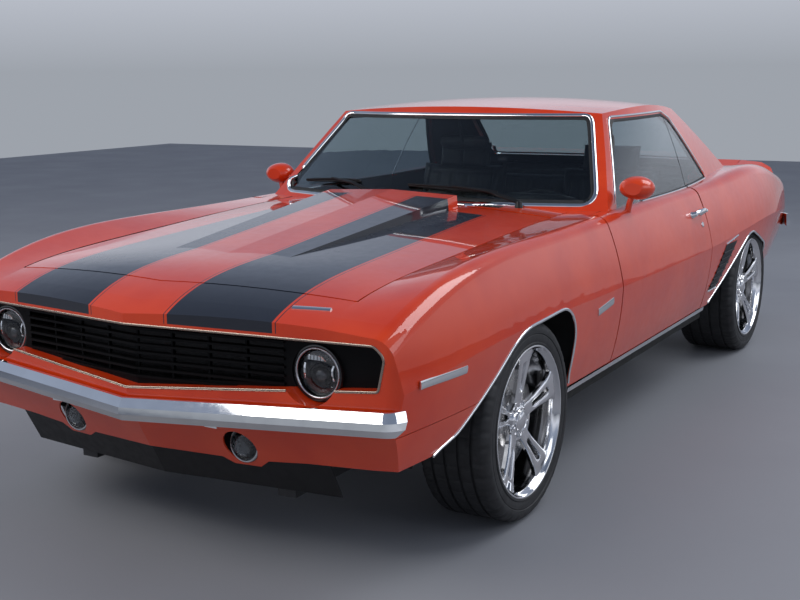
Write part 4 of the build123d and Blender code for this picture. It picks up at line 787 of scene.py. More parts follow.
class Skin:
    """The outside of some carried-over nodes."""

    def __init__(self, *nodes: str) -> None:
        """Collect the nodes' faces.

        Args:
            nodes: The nodes' names.
        """
        points: list[Vector] = []
        faces: list[list[int]] = []
        for node in nodes:
            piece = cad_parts[node]
            start = len(points)
            points += [piece.matrix_world @ v.co for v in piece.data.vertices]
            faces += [[start + i for i in polygon.vertices] for polygon in piece.data.polygons]
        self.tree = BVHTree.FromPolygons(points, faces)

    def cast(self, side: Side, across: float, up: float) -> tuple[Vector, Vector] | None:
        """Find the first point seen from one side of the car.

        Args:
            side: Where the ray comes from.
            across: The first coordinate in that view.
            up: The second.

        Returns:
            The point and the outward normal, or nothing.
        """
        first, second, start, direction = side.value
        origin = [0.0 if v is None else v for v in start]
        origin[first], origin[second] = across, up
        point, normal, _, _ = self.tree.ray_cast(Vector(origin), Vector(direction))
        if point is None:
            return None
        return point, (-normal if normal.dot(Vector(direction)) > 0 else normal)

    def line(self, side: Side, path: Sequence[Flat], smooth: int = 3) -> tuple[list[Vector], list[Vector]]:
        """Lay a line on the skin.

        Args:
            side: Where it is cast from.
            path: The line in that view.
            smooth: Neighbours that each point is averaged with.

        Returns:
            Points and outward normals; points that miss the skin are left out.
        """
        hits = [hit for hit in (self.cast(side, *p) for p in path) if hit]
        points = [hit[0] for hit in hits]
        depth = {Side.FRONT: 1, Side.REAR: 1, Side.LEFT: 0, Side.TOP: 2}[side]
        raw = [p[depth] for p in points]
        for i in range(len(points)):
            near = sorted(raw[max(0, i - smooth) : i + smooth + 1])
            middle = near[len(near) // 2]
            if abs(raw[i] - middle) > JUMP:
                points[i][depth] = middle
        kept = [p[depth] for p in points]
        normals = []
        for i in range(len(points)):
            near = slice(max(0, i - smooth), i + smooth + 1)
            points[i][depth] = sum(kept[near]) / len(kept[near])
            normals.append(sum((hit[1] for hit in hits[near]), Vector()).normalized())
        return points, normals


def half_round(width: float, height: float, sunk: float = 0.0015) -> Outline:
    """Profile of a low half-round strip.

    Args:
        width: The strip's width.
        height: How far it stands off the skin.
        sunk: How far its foot reaches into the skin.

    Returns:
        Points as (to the side, outwards).
    """
    half = width / 2
    return [(-half, -sunk), (-half, height * 0.45), (-half * 0.7, height * 0.85), (-half * 0.25, height),
            (half * 0.25, height), (half * 0.7, height * 0.85), (half, height * 0.45), (half, -sunk)]


Strip = tuple[float, float, Finish]
FRONT_OPENING: tuple[Corner, ...] = (
    (-1.062, 0.2, 0.0), (-1.07, 0.658, 0.14), (-1.54, 0.647, 0.3), (-1.87, 0.4, 0.15), (-2.04, 0.345, 0.0),
    (-2.06, 0.2, 0.0),
)
REAR_OPENING: tuple[Corner, ...] = (
    (0.655, 0.2, 0.0), (0.655, 0.342, 0.012), (1.23, 0.634, 0.18), (1.62, 0.51, 0.09), (1.668, 0.345, 0.03),
    (1.668, 0.2, 0.0),
)
WINDSHIELD: tuple[Corner, ...] = (
    (-0.742, 0.925, 0.034), (0.742, 0.925, 0.034), (0.59, 1.254, 0.034), (-0.59, 1.254, 0.034),
)
REAR_WINDOW: tuple[Corner, ...] = (
    (-0.61, 0.968, 0.034), (0.61, 0.968, 0.034), (0.505, 1.236, 0.034), (-0.505, 1.236, 0.034),
)
SIDE_WINDOW: tuple[Corner, ...] = (
    (-0.42, 0.86, 0.0), (-0.082, 1.238, 0.03), (0.6, 1.238, 0.09), (0.69, 1.205, 0.06), (0.85, 1.02, 0.0),
    (1.0, 0.86, 0.0),
)
GRILLE_OPENING: tuple[Corner, ...] = (
    (0.0, 0.541, 0.0), (0.812, 0.606, 0.01), (0.832, 0.701, 0.028), (0.802, 0.731, 0.026),
    (-0.802, 0.731, 0.026), (-0.832, 0.701, 0.028), (-0.812, 0.606, 0.01),
)
HEADLAMP_X = 0.604
HEADLAMP_Y = -2.186
HEADLAMP_Z = 0.63
BEZEL_RADIUS = 0.081


@dataclass
class BrightTrim:
    """Bright strips round the glass, the wheel openings and the grille opening."""

    arch: Strip = (0.01, 0.004, CHROME)
    screen: Strip = (0.017, 0.005, CHROME)
    screen_seal: Strip = (0.016, 0.0015, SEAL_RUBBER)
    window: Strip = (0.01, 0.005, CHROME)
    window_seal: Strip = (0.016, 0.002, SEAL_RUBBER)
    belt_line: float = 0.915
    opening_width: float = 0.007

    def build(self) -> None:
        """Make every strip."""
        for name, corners, nodes, foot in (
            ("arch_lip_front", FRONT_OPENING, ("front_fenders", "front_valance"), 0.358),
            ("arch_lip_rear", REAR_OPENING, ("quarter_panels",), 0.35),
        ):
            self.lay(name, Side.LEFT, corners, nodes, 0.0045, self.arch, foot)
        nodes = ("roof", "fixed_glass", "cowl_panel", "quarter_panels")
        for name, side, corners in (("windshield", Side.FRONT, WINDSHIELD),
                                    ("rear_window", Side.REAR, REAR_WINDOW)):
            self.lay(f"{name}_trim", side, corners, nodes, 0.003, self.screen)
            self.lay(f"{name}_seal", side, corners, nodes, -0.01, self.screen_seal)
        for name, last, offset, strip in (("side_window_trim", "quarter_panels", 0.009, self.window),
                                          ("side_window_seal", "door_glass_left", -0.006, self.window_seal)):
            self.lay(name, Side.LEFT, SIDE_WINDOW, ("roof", "fixed_glass", last), offset, strip,
                     self.belt_line)
        self.build_opening_trim()

    @staticmethod
    def lay(name: str, side: Side, corners: Sequence[Corner], nodes: Sequence[str], offset: float,
            strip: Strip, foot: float | None = None) -> None:
        """Lay one strip along an opening.

        Args:
            name: The strip's name.
            side: Where the line is cast from.
            corners: The opening's corners.
            nodes: What it lies on.
            offset: How far outside the opening it runs.
            strip: The strip's width, height and finish.
            foot: Height that an open strip ends at, on both sides of the car. None runs all the way round.
        """
        width, height, finish = strip
        path = spread(resample(rounded(corners), 0.012, closed=True), offset)
        if foot is not None:
            path = [p for p in path if p[1] > foot]
            start = max(range(len(path)), key=lambda i: math.dist(path[i - 1], path[i]))
            path = path[start:] + path[:start]
        shape = Shape(name)
        shape.strip(Skin(*nodes), side, path, width, height, closed=foot is None)
        if foot is not None:
            shape.mirror()
        shape.build("body", finish, sharp=60.0)

    def build_opening_trim(self) -> None:
        """Make the thin grey strips round the grille opening, which end at the lamps' bezels."""
        runs: list[list[Flat]] = [[]]
        for across, up in resample(rounded(GRILLE_OPENING), 0.006, closed=True):
            if up < 0.66 and math.hypot(abs(across) - HEADLAMP_X, up - HEADLAMP_Z) < BEZEL_RADIUS:
                runs.append([])
            else:
                runs[-1].append((across, up))
        runs = [run for run in [runs[-1] + runs[0]] + runs[1:-1] if len(run) > 2]
        shape = Shape("opening_trim")
        for run in runs:
            points = [Vector((x, NOSE_TIP_Y + abs(x) * NOSE_SLOPE, z)) for x, z in run]
            normals = [Vector((math.copysign(NOSE_SLOPE, p.x), -1, 0)).normalized() for p in points]
            shape.sweep(points, normals, half_round(self.opening_width, 0.0025))
        shape.build("body", BRONZE_TRIM, sharp=60.0)


GROOVE: tuple[Flat, ...] = ((0.0055, 0.328), (0.004, 0.3205), (-0.004, 0.3205), (-0.0055, 0.328))


@dataclass
class Wheel:
    """One wheel: a treaded tyre on a chrome rim with five split spokes."""

    corner: str
    y: float
    width: float
    spokes: int = 5
    tread_radius: float = 0.3262
    shoulder_radius: float = 0.31
    shoulder_share: float = 0.62
    block_steps: int = 8
    lip_radius: float = 0.251
    barrel_radius: float = 0.2285
    disc_radius: float = 0.165
    nut_circle: float = 0.0515
    spoke_depth: float = 0.021
    spoke_half: tuple[Flat, ...] = (
        (0.05, 0.03), (0.066, 0.027), (0.085, 0.025), (0.12, 0.027), (0.16, 0.033), (0.195, 0.04),
        (0.214, 0.048), (0.232, 0.064),
    )
    slot_half: tuple[Flat, ...] = (
        (0.05, 0.0), (0.094, 0.0), (0.098, 0.005), (0.106, 0.0078), (0.15, 0.01), (0.186, 0.0125),
        (0.195, 0.01), (0.2, 0.0), (0.232, 0.0),
    )
    spoke_face: tuple[Flat, ...] = (
        (0.05, -0.044), (0.066, -0.043), (0.1, -0.037), (0.15, -0.028), (0.2, -0.02), (0.232, -0.0165),
    )

    @property
    def side(self) -> float:
        """1 for a left wheel and -1 for a right one."""
        return 1.0 if self.corner.endswith("l") else -1.0

    @property
    def centre(self) -> Vector:
        """The middle of the wheel's outer face."""
        return Vector((TYRE_FACE_X, self.y, TYRE_RADIUS))

    def build(self) -> None:
        """Make the tyre and the rim."""
        self.build_tyre()
        self.build_rim()

    def place(self, shape: Shape) -> Shape:
        """Turn a left-hand shape into this wheel's side.

        Args:
            shape: The shape as modelled on the left.

        Returns:
            The same shape.
        """
        if self.side < 0:
            shape.flip()
            shape.faces = [tuple(reversed(face)) for face in shape.faces]
        return shape

    def build_tyre(self) -> None:
        """Make the tyre with its sidewall rings, grooves and shoulder blocks."""
        half = self.width / 2
        insets = [
            (0.016, 0.2413), (0.011, 0.244), (0.0048, 0.25), (0.0012, 0.2545), (0.001, 0.2575),
            (0.0042, 0.26), (0.0026, 0.265), (0.002, 0.274), (0.0022, 0.283), (0.0036, 0.285),
            (0.0036, 0.2865), (0.001, 0.2885), (0.0002, 0.296), (0.001, 0.303), (0.0042, 0.311),
            (0.01, 0.3184), (0.0182, 0.3244), (0.026, 0.3278),
        ]
        side = [(half - inset, r) for inset, r in insets]
        grooves = [half * k for k in (-0.56, -0.19, 0.19, 0.56)]
        tread: list[Flat] = []
        for groove in reversed(grooves):
            tread += [(groove + a, r) for a, r in GROOVE]
        profile = side + tread + [(-a, r) for a, r in reversed(side)]
        rows = []
        for step, (cos, sin) in enumerate(circle(320)):
            cut = step % self.block_steps < 2
            sipe = step % self.block_steps == self.block_steps // 2
            row = []
            for a, r in profile:
                ribs = r > self.tread_radius
                shoulder = abs(a) > half * self.shoulder_share
                if ribs and shoulder and cut:
                    r -= 0.0055
                elif r > self.shoulder_radius and shoulder and cut:
                    r -= 0.003
                elif ribs and sipe:
                    r -= 0.002
                row.append(self.centre + Vector((a - half, r * cos, r * sin)))
            rows.append(row)
        shape = Shape(f"tyre_dressed_{self.corner}")
        shape.grid(rows, ring=True, loop=True)
        made = self.place(shape).build(f"wheel_{self.corner}", RUBBER, sharp=32.0)
        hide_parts(f"tyre_{self.corner}")

    def build_rim(self) -> None:
        """Make the barrel, the spokes, the hub, the wheel nuts and the brake disc."""
        shape = Shape(f"rim_dressed_{self.corner}")
        back = 0.007 - self.width
        axis = (1.0, 0.0, 0.0)
        lip, barrel, disc = self.lip_radius, self.barrel_radius, self.disc_radius
        shape.lathe(
            [(-0.01, lip - 0.01), (-0.0095, lip - 0.0006), (-0.0045, lip), (-0.0018, lip - 0.0012),
             (-0.0008, lip - 0.004), (-0.0022, lip - 0.0072), (-0.0065, lip - 0.0098), (-0.013, lip - 0.0125),
             (-0.0175, lip - 0.019), (-0.024, barrel + 0.001), (-0.05, barrel - 0.001),
             (-0.1, barrel - 0.0035), (-0.17, barrel - 0.0055),
             (back + 0.02, barrel - 0.0055), (back + 0.006, barrel + 0.002),
             (back, 0.24), (back + 0.004, 0.2408), (-0.03, 0.2408)],
            self.centre, axis, segments=120, ring=True)
        for spoke in range(self.spokes):
            for leg in (-1.0, 1.0):
                self.add_leg(shape, 2 * math.pi * spoke / self.spokes + math.pi / 2, leg)
        shape.lathe([(-0.064, 0.03), (-0.064, 0.066), (-0.047, 0.068), (-0.043, 0.0665), (-0.0425, 0.062),
                     (-0.046, 0.059), (-0.046, 0.044), (-0.042, 0.041), (-0.04, 0.038)],
                    self.centre, axis, segments=80)
        shape.lathe([(-0.048, 0.0385), (-0.036, 0.0385), (-0.032, 0.0365), (-0.03, 0.032), (-0.0296, 0.03),
                     (-0.031, 0.0285), (-0.029, 0.026), (-0.0262, 0.018), (-0.025, 0.008), (-0.0248, 0.0)],
                    self.centre, axis, segments=64)
        for nut in range(self.spokes):
            angle = 2 * math.pi * (nut + 0.5) / self.spokes + math.pi / 2
            at = self.centre + Vector((0, self.nut_circle * math.cos(angle),
                                       self.nut_circle * math.sin(angle)))
            shape.lathe([(-0.047, 0.0092), (-0.038, 0.0092), (-0.035, 0.007), (-0.0335, 0.0035),
                         (-0.0332, 0.0)],
                        at, axis, segments=6)
        shape.slot = 1
        shape.lathe([(-0.104, 0.09), (-0.104, disc), (-0.096, disc), (-0.0955, disc - 0.003),
                     (-0.0865, disc - 0.003), (-0.086, disc), (-0.078, disc), (-0.078, 0.095), (-0.07, 0.088),
                     (-0.06, 0.086), (-0.06, 0.03), (-0.07, 0.03), (-0.07, 0.08), (-0.104, 0.082)],
                    self.centre, axis, segments=96, ring=True)
        made = self.place(shape).build(f"wheel_{self.corner}", WHEEL_CHROME, DISC_STEEL, bevel=0.0012,
                                       sharp=38.0)
        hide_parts(f"rim_{self.corner}")

    def add_leg(self, shape: Shape, angle: float, leg: float) -> None:
        """Add one leg of a split spoke.

        Args:
            shape: The rim being built.
            angle: The spoke's direction.
            leg: -1 or 1 for the leg's side of the slot.
        """
        out = Vector((0, math.cos(angle), math.sin(angle)))
        across = Vector((0, -math.sin(angle), math.cos(angle)))
        rows = []
        known = {r for r, _ in self.spoke_half + self.slot_half}
        radii = sorted(known | {0.13, 0.14, 0.17, 0.18, 0.205, 0.224})
        for radius in radii:
            outer = float(np.interp(radius, *zip(*self.spoke_half)))
            inner = float(np.interp(radius, *zip(*self.slot_half)))
            face = float(np.interp(radius, *zip(*self.spoke_face)))
            soft = min(0.0045, (outer - inner) * 0.25)
            edge = 0.0 if inner < 0.0002 else soft
            ring = [
                (outer, -0.0065), (outer - soft * 0.35, -0.0022), (outer - soft, -0.0004),
                ((outer + inner) / 2, 0.0012), (inner + edge, -0.0004 if edge else 0.0004),
                (inner + edge * 0.35, -0.0022 if edge else 0.0002), (inner, -0.0065 if edge else 0.0),
                (inner, -self.spoke_depth), (outer - 0.004, -self.spoke_depth),
            ]
            rows.append([self.centre + out * radius + across * (leg * s) + Vector((face + d, 0, 0))
                         for s, d in ring])
        shape.grid(rows, ring=True, caps=True)


@dataclass
class Lamps:
    """Round headlamps with a projector, the round valance lamps and the tail lamps."""

    port_x: float = 0.334
    port_z: float = 0.379
    port_y: float = -2.186
    tail_low: float = 0.64
    tail_high: float = 0.735
    tail_spans: tuple[Flat, ...] = ((0.338, 0.478), (0.486, 0.62), (0.628, 0.762))

    def build(self) -> None:
        """Make the lamps of both ends."""
        self.build_headlamps()
        self.build_valance_lamps()
        self.build_tail_lamps()

    def build_headlamps(self) -> None:
        """Make the bright ring, the projector, its reflectors and a thin domed lens."""
        at = Vector((HEADLAMP_X, HEADLAMP_Y, HEADLAMP_Z))
        ring = Shape("headlamp_rings")
        ring.lathe([(0.0135, 0.0672), (0.0165, 0.0685), (0.0172, 0.0705), (0.0165, 0.0725), (0.0135, 0.0738)],
                   at, FORWARD, segments=72, ring=True)
        ring.slot = 1
        ring.lathe([(0.0135, 0.0745), (0.016, 0.076), (0.015, 0.08), (0.01, 0.0822), (-0.02, 0.0822),
                    (-0.02, 0.0745)],
                   at, FORWARD, segments=72, ring=True)
        ring.mirror()
        ring.build("body", SATIN_CHROME, GLOSS_BLACK, sharp=50.0)
        inside = Shape("headlamp_insides")
        inside.lathe([(-0.031, 0.0), (-0.031, 0.0655), (-0.003, 0.0655)], at, FORWARD, segments=64)
        low = at + Vector((0, 0, -0.01))
        inside.lathe([(-0.03, 0.034), (-0.016, 0.0345), (-0.012, 0.0325), (-0.014, 0.029)], low, FORWARD,
                     segments=56)
        inside.slot = 1
        inside.lathe([(-0.015, 0.029), (-0.008, 0.0245), (-0.0045, 0.016), (-0.0032, 0.008), (-0.003, 0.0)],
                     low, FORWARD, segments=48)
        inside.slot = 2
        for across in (-0.046, 0.046):
            rows = []
            for k in range(9):
                up = -0.02 + 0.044 * k / 8
                bulge = 0.007 * math.sin(math.pi * k / 8)
                rows.append([at + Vector((across + dx, -0.006 - bulge * dy, up)) for dx, dy in
                             ((-0.006, -0.6), (-0.003, 0.6), (0.003, 0.6), (0.006, -0.6))])
            inside.grid(rows, ring=True, caps=True)
        for k in range(-3, 4):
            x = 0.011 * k
            inside.box((at.x + x - 0.0042, at.y, at.z + 0.033),
                       (at.x + x + 0.0042, at.y + 0.012, at.z + 0.046))
        inside.mirror()
        inside.build("body", LAMP_BLACK, LAMP_GLASS_DARK, CHROME, sharp=40.0)
        lens = Shape("headlamp_lenses")
        dome = [(0.004, 0.0662), (0.0064, 0.06), (0.0098, 0.045), (0.0118, 0.028), (0.0126, 0.012),
                (0.0128, 0.0)]
        back = [(0.0103, 0.0), (0.0093, 0.028), (0.0074, 0.044), (0.004, 0.059), (0.0018, 0.064),
                (0.001, 0.0662)]
        lens.lathe(dome + back, at, FORWARD, segments=72)
        lens.mirror()
        made = lens.build("body", LENS, sharp=60.0)
        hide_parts("lamp_lenses")

    def build_valance_lamps(self) -> None:
        """Make a ring, a reflector bowl and a domed lens in each round port."""
        at = Vector((self.port_x, self.port_y, self.port_z))
        lamp = Shape("valance_lamps")
        lamp.lathe([(0.0003, 0.053), (0.006, 0.0528), (0.0085, 0.0505), (0.008, 0.047), (0.004, 0.0455),
                    (0.0003, 0.045)],
                   at, FORWARD, segments=56, ring=True)
        lamp.slot = 1
        lamp.lathe([(0.001, 0.0), (0.001, 0.02), (0.002, 0.0455)], at, FORWARD, segments=56)
        lamp.slot = 2
        lamp.lathe([(0.003, 0.0455), (0.009, 0.04), (0.013, 0.024), (0.0145, 0.0), (0.0115, 0.0),
                    (0.01, 0.024), (0.006, 0.04), (0.0015, 0.0455)], at, FORWARD, segments=56)
        lamp.mirror()
        lamp.build("body", SATIN_CHROME, LAMP_GREY, LENS, sharp=50.0)

    def build_tail_lamps(self) -> None:
        """Make three framed, ribbed red lenses on each side of the tail."""
        skin = Skin("tail_lamps")
        frames, ribs = Shape("tail_lamp_frames"), Shape("tail_lamp_ribs")
        for low, high in self.tail_spans:
            corners = ((low, self.tail_low + 0.005, 0.008), (high, self.tail_low + 0.005, 0.008),
                       (high, self.tail_high - 0.005, 0.008), (low, self.tail_high - 0.005, 0.008))
            outline = resample(rounded(corners, 5), 0.006, closed=True)
            frames.strip(skin, Side.REAR, outline, 0.008, 0.005, closed=True)
            for k in range(1, 9):
                z = self.tail_low + 0.008 + (self.tail_high - self.tail_low - 0.016) * k / 9
                line = [(x, z) for x in np.linspace(low + 0.006, high - 0.006, 12)]
                ribs.strip(skin, Side.REAR, line, 0.006, 0.0022)
        frames.mirror()
        ribs.mirror()
        frames.build("body", CHROME, sharp=60.0)
        ribs.build("body", RED_LENS, sharp=60.0)


@dataclass
class BodyDetails:
    """Handles, locks, mirror glass, side vents, blank badges and the strips along the side glass."""

    handle_y: float = 0.424
    handle_z: float = 0.801
    handle_length: float = 0.15
    mirror_at: Point = (0.858, -0.318, 0.984)
    mirror_half: Flat = (0.069, 0.046)
    vent_low: float = 0.425
    vent_top: float = 0.615
    vent_y: float = 0.592
    vent_rib_y: float = 0.596
    vent_rake: float = 0.2
    vent_width: float = 0.135
    vent_flare: float = 0.055

    def build(self) -> None:
        """Make the small pieces on the painted body."""
        for side, name in SIDES:
            self.build_handle(side, f"door_{name}")
            self.build_mirror_glass(side, f"door_{name}")
        self.build_louvres()
        self.build_badges()
        self.build_belts()

    def build_handle(self, side: float, body: str) -> None:
        """Make one door handle with its button, escutcheons and key lock.

        Args:
            side: 1 for the left door and -1 for the right one.
            body: The door's body.
        """
        skin = Skin("door_left")
        shape = Shape(f"handle_{body}")
        half = self.handle_length / 2
        line = [(self.handle_y + half * t, self.handle_z) for t in np.linspace(-1, 1, 21)]
        points, normals = skin.line(Side.LEFT, line)
        rows = []
        for t, point, normal in zip(np.linspace(-1, 1, 21), points, normals):
            lift = 0.034 * (1 - abs(t) ** 4) + 0.002
            tall = 0.008 + 0.0035 * (1 - t * t)
            up = Vector(UP) - normal * normal.z
            rows.append([point + normal * (lift + 0.006 * cos) + up * (tall * sin + 0.004)
                         for cos, sin in circle(14)])
        shape.grid(rows, ring=True, caps=True)
        escutcheon = [(-0.002, 0.016), (0.006, 0.015), (0.014, 0.011), (0.024, 0.009), (0.026, 0.0)]
        button = [(0.024, 0.0075), (0.034, 0.0075), (0.036, 0.006), (0.0365, 0.0)]
        lock = [(-0.001, 0.0125), (0.003, 0.012), (0.0045, 0.0095), (0.004, 0.006), (0.004, 0.0)]
        for along, up, profile, segments in ((half * -0.86, 0.0, escutcheon, 28),
                                             (half * 0.8, 0.0, escutcheon, 28), (half * 0.8, 0.0, button, 24),
                                             (0.045, -0.052, lock, 28)):
            hit = skin.cast(Side.LEFT, self.handle_y + along, self.handle_z + up)
            if hit:
                shape.lathe(profile, *hit, segments=segments)
        if side < 0:
            shape.flip()
        shape.build(body, CHROME, sharp=40.0)

    def build_mirror_glass(self, side: float, body: str) -> None:
        """Make one mirror's glass and its bright rim.

        Args:
            side: 1 for the left door and -1 for the right one.
            body: The door's body.
        """
        at = Vector(self.mirror_at)
        at.x *= side
        wide, tall = self.mirror_half
        shape = Shape(f"mirror_glass_{body}")
        rim, glass = (
            [[at + Vector((wide * s * cos, depth, tall * s * sin)) for cos, sin in circle(48)]
             for s, depth in rings]
            for rings in (((0.99, -0.002), (0.99, 0.004), (0.93, 0.0055), (0.9, 0.003)),
                          ((0.905, 0.0028), (0.5, 0.0034), (0.02, 0.0036)))
        )
        shape.grid(rim, ring=True)
        shape.slot = 1
        shape.grid(glass, ring=True)
        shape.build(body, CHROME, MIRROR, sharp=50.0)

    def build_louvres(self) -> None:
        """Make the dark slanted vent ahead of each rear wheel with its bright edges."""
        skin = Skin("quarter_panels")
        panel, bright = Shape("side_vents"), Shape("side_vent_edges")
        low, tall = self.vent_low, self.vent_top - self.vent_low
        rows = []
        for k in range(9):
            y = self.vent_y + self.vent_rake * k / 8
            across = np.linspace(0.0, self.vent_width + self.vent_flare * k / 8, 6)
            rows.append(skin.line(Side.LEFT, [(y + dy, low + tall * k / 8) for dy in across]))
        panel.grid([[p + n * STAND_OFF for p, n in zip(*row)] for row in rows])
        for k in range(1, 7):
            z = low + tall * (k - 0.35) / 7
            y = self.vent_rib_y + self.vent_rake * (z - low) / tall
            line = [(y + dy, z) for dy in np.linspace(0.0, 0.127 + 0.007 * k, 6)]
            panel.strip(skin, Side.LEFT, line, 0.01, 0.006)
        for line in ([(0.788 + dy, self.vent_top + 0.004 + dy * 0.1) for dy in np.linspace(0, 0.196, 8)],
                     [(0.588 + dy, low - 0.004) for dy in np.linspace(0, 0.14, 8)]):
            bright.strip(skin, Side.LEFT, line, 0.008, 0.005)
        panel.mirror()
        bright.mirror()
        panel.build("body", SATIN_BLACK, sharp=40.0)
        bright.build("body", CHROME, sharp=60.0)

    def build_badges(self) -> None:
        """Make the blank bright badges on the header, the fenders and their sides."""
        badge = Shape("blank_badges")
        for y, z, length, rise, count, width in ((-2.13, 0.614, 0.24, -0.006, 20, 0.024),
                                                 (-0.87, 0.588, 0.15, 0.018, 14, 0.028)):
            line = [(y + length * t, z + rise * t) for t in np.linspace(0, 1, count)]
            badge.strip(Skin("front_fenders"), Side.LEFT, line, width, 0.004)
        badge.mirror()
        line = [(0.51 + 0.11 * t, -2.177 + 0.028 * t) for t in np.linspace(0, 1, 14)]
        badge.strip(Skin("nose_panel"), Side.TOP, line, 0.018, 0.004)
        badge.build("body", CHROME, sharp=50.0)

    def build_belts(self) -> None:
        """Make the dark wiping strip and its bright edge along the foot of the side glass."""
        glass = Skin("door_glass_left", "fixed_glass")
        for name, low, high, skin, body in (
            ("belt_left", -0.4, 0.545, Skin("door_left"), "door_left"),
            ("belt_quarter", 0.562, 0.93, Skin("quarter_panels"), "body"),
        ):
            points = []
            for y in np.linspace(low, high, 28):
                side = glass.cast(Side.LEFT, y, 0.935)
                if side is None:
                    continue
                top = skin.cast(Side.TOP, side[0].x + 0.012, y)
                points.append(Vector((side[0].x + 0.006, y, (top[0].z if top else 0.905) + 0.001)))
            for mirrored, target in ((False, body), (True, body.replace("left", "right"))):
                shape = Shape(name if not mirrored else name + "_right")
                shape.sweep(points, [Vector((0.5, 0, 0.87))] * len(points), half_round(0.014, 0.006))
                shape.slot = 1
                edge = [p + Vector((0.009, 0, -0.001)) for p in points]
                shape.sweep(edge, [Vector((0.6, 0, 0.8))] * len(points), half_round(0.006, 0.004))
                if mirrored:
                    shape.flip()
                shape.build(target, SEAL_RUBBER, CHROME, sharp=50.0)


@dataclass
class Pad:
    """A stuffed panel: crowned on its face, pulled in between its corners, with sewn channels."""

    name: str
    middle: Point
    lean: float
    width: float
    length: float
    depth: float
    crown: float = 0.03
    pull: float = 0.02
    channels: int = 5
    bolster: float = 0.22
    seam: float = 0.86
    fill: float = 0.8

    def place(self, across: float, along: float, out: float) -> Vector:
        """Turn the pad's own coordinates into the car's.

        Args:
            across: To the left.
            along: Along the pad.
            out: Out of its face.

        Returns:
            The point in the row frame.
        """
        cos, sin = math.cos(self.lean), math.sin(self.lean)
        x, y, z = self.middle
        return Vector((x + across, y + along * cos - out * sin, z + along * sin + out * cos))

    def outline(self, s: float, t: float) -> tuple[float, float]:
        """Where a point of the face lies in plan, with the sides pulled in.

        Args:
            s: From -1 to 1 over the width.
            t: From -1 to 1 over the length.

        Returns:
            The place across and along.
        """
        inward_x = 1 - self.pull * (1 - t * t) * abs(s) ** 3
        inward_y = 1 - self.pull * (1 - s * s) * abs(t) ** 3
        return s * self.width / 2 * inward_x, t * self.length / 2 * inward_y

    def height(self, s: float, t: float) -> float:
        """Height of the face over the pad's middle plane.

        Args:
            s: From -1 to 1 over the width.
            t: From -1 to 1 over the length.

        Returns:
            The height.
        """
        side = 1 - abs(s) ** 10
        end = 1 - abs(t) ** 10
        dome = self.crown * (1 - s * s) * (1 - t * t)
        edge = self.bolster * self.depth * (abs(s) ** 3) * (1 - abs(t) ** 6) * side
        inset = 1 - self.bolster if self.channels else 0.0
        sewn = 0.0
        if abs(t) < self.seam:
            for k in range(1, self.channels):
                line = inset * (2 * k / self.channels - 1)
                sewn += 0.011 * math.exp(-((s - line) / 0.022) ** 2)
        for line in (-inset, inset):
            sewn += 0.01 * math.exp(-((s - line) / 0.02) ** 2)
        sewn += 0.008 * math.exp(-((abs(t) - self.seam) / 0.022) ** 2)
        return (self.depth / 2 + dome + edge) * min(1.0, (side * end) ** 0.4) - sewn * side * end

    def build(self, body: str = "body") -> bpy.types.Object:
        """Args:
            body: The body it rides on.

        Returns:
            The panel.
        """
        count = 56
        stops = [math.sin(math.pi / 2 * (2 * k / count - 1)) for k in range(count + 1)]
        shape = Shape(self.name)
        top, low = [], []
        for t in stops:
            top.append([self.place(*self.outline(s, t), self.height(s, t)) for s in stops])
            drop = [min(1.0, ((1 - abs(s) ** 8) * (1 - abs(t) ** 8)) ** 0.4) for s in stops]
            low.append([self.place(*self.outline(s, t), -self.depth / 2 * d) for s, d in zip(stops, drop)])
        shape.grid(top)
        shape.grid(low)
        edge = [self.place(*self.outline(s, t), 0.0) for s, t in self.rim(stops)]
        shape.tube(edge, 0.0042, 8, closed=True)
        made = shape.build(body, LEATHER, sharp=80.0)
        return made

    @staticmethod
    def rim(stops: Sequence[float]) -> list[Flat]:
        """The pad's edge, once round.

        Args:
            stops: Stations along one side.

        Returns:
            Points as (s, t).
        """
        some = stops[::2]
        return ([(s, -1.0) for s in some[:-1]] + [(1.0, t) for t in some[:-1]]
                + [(s, 1.0) for s in reversed(some[1:])] + [(-1.0, t) for t in reversed(some[1:])])


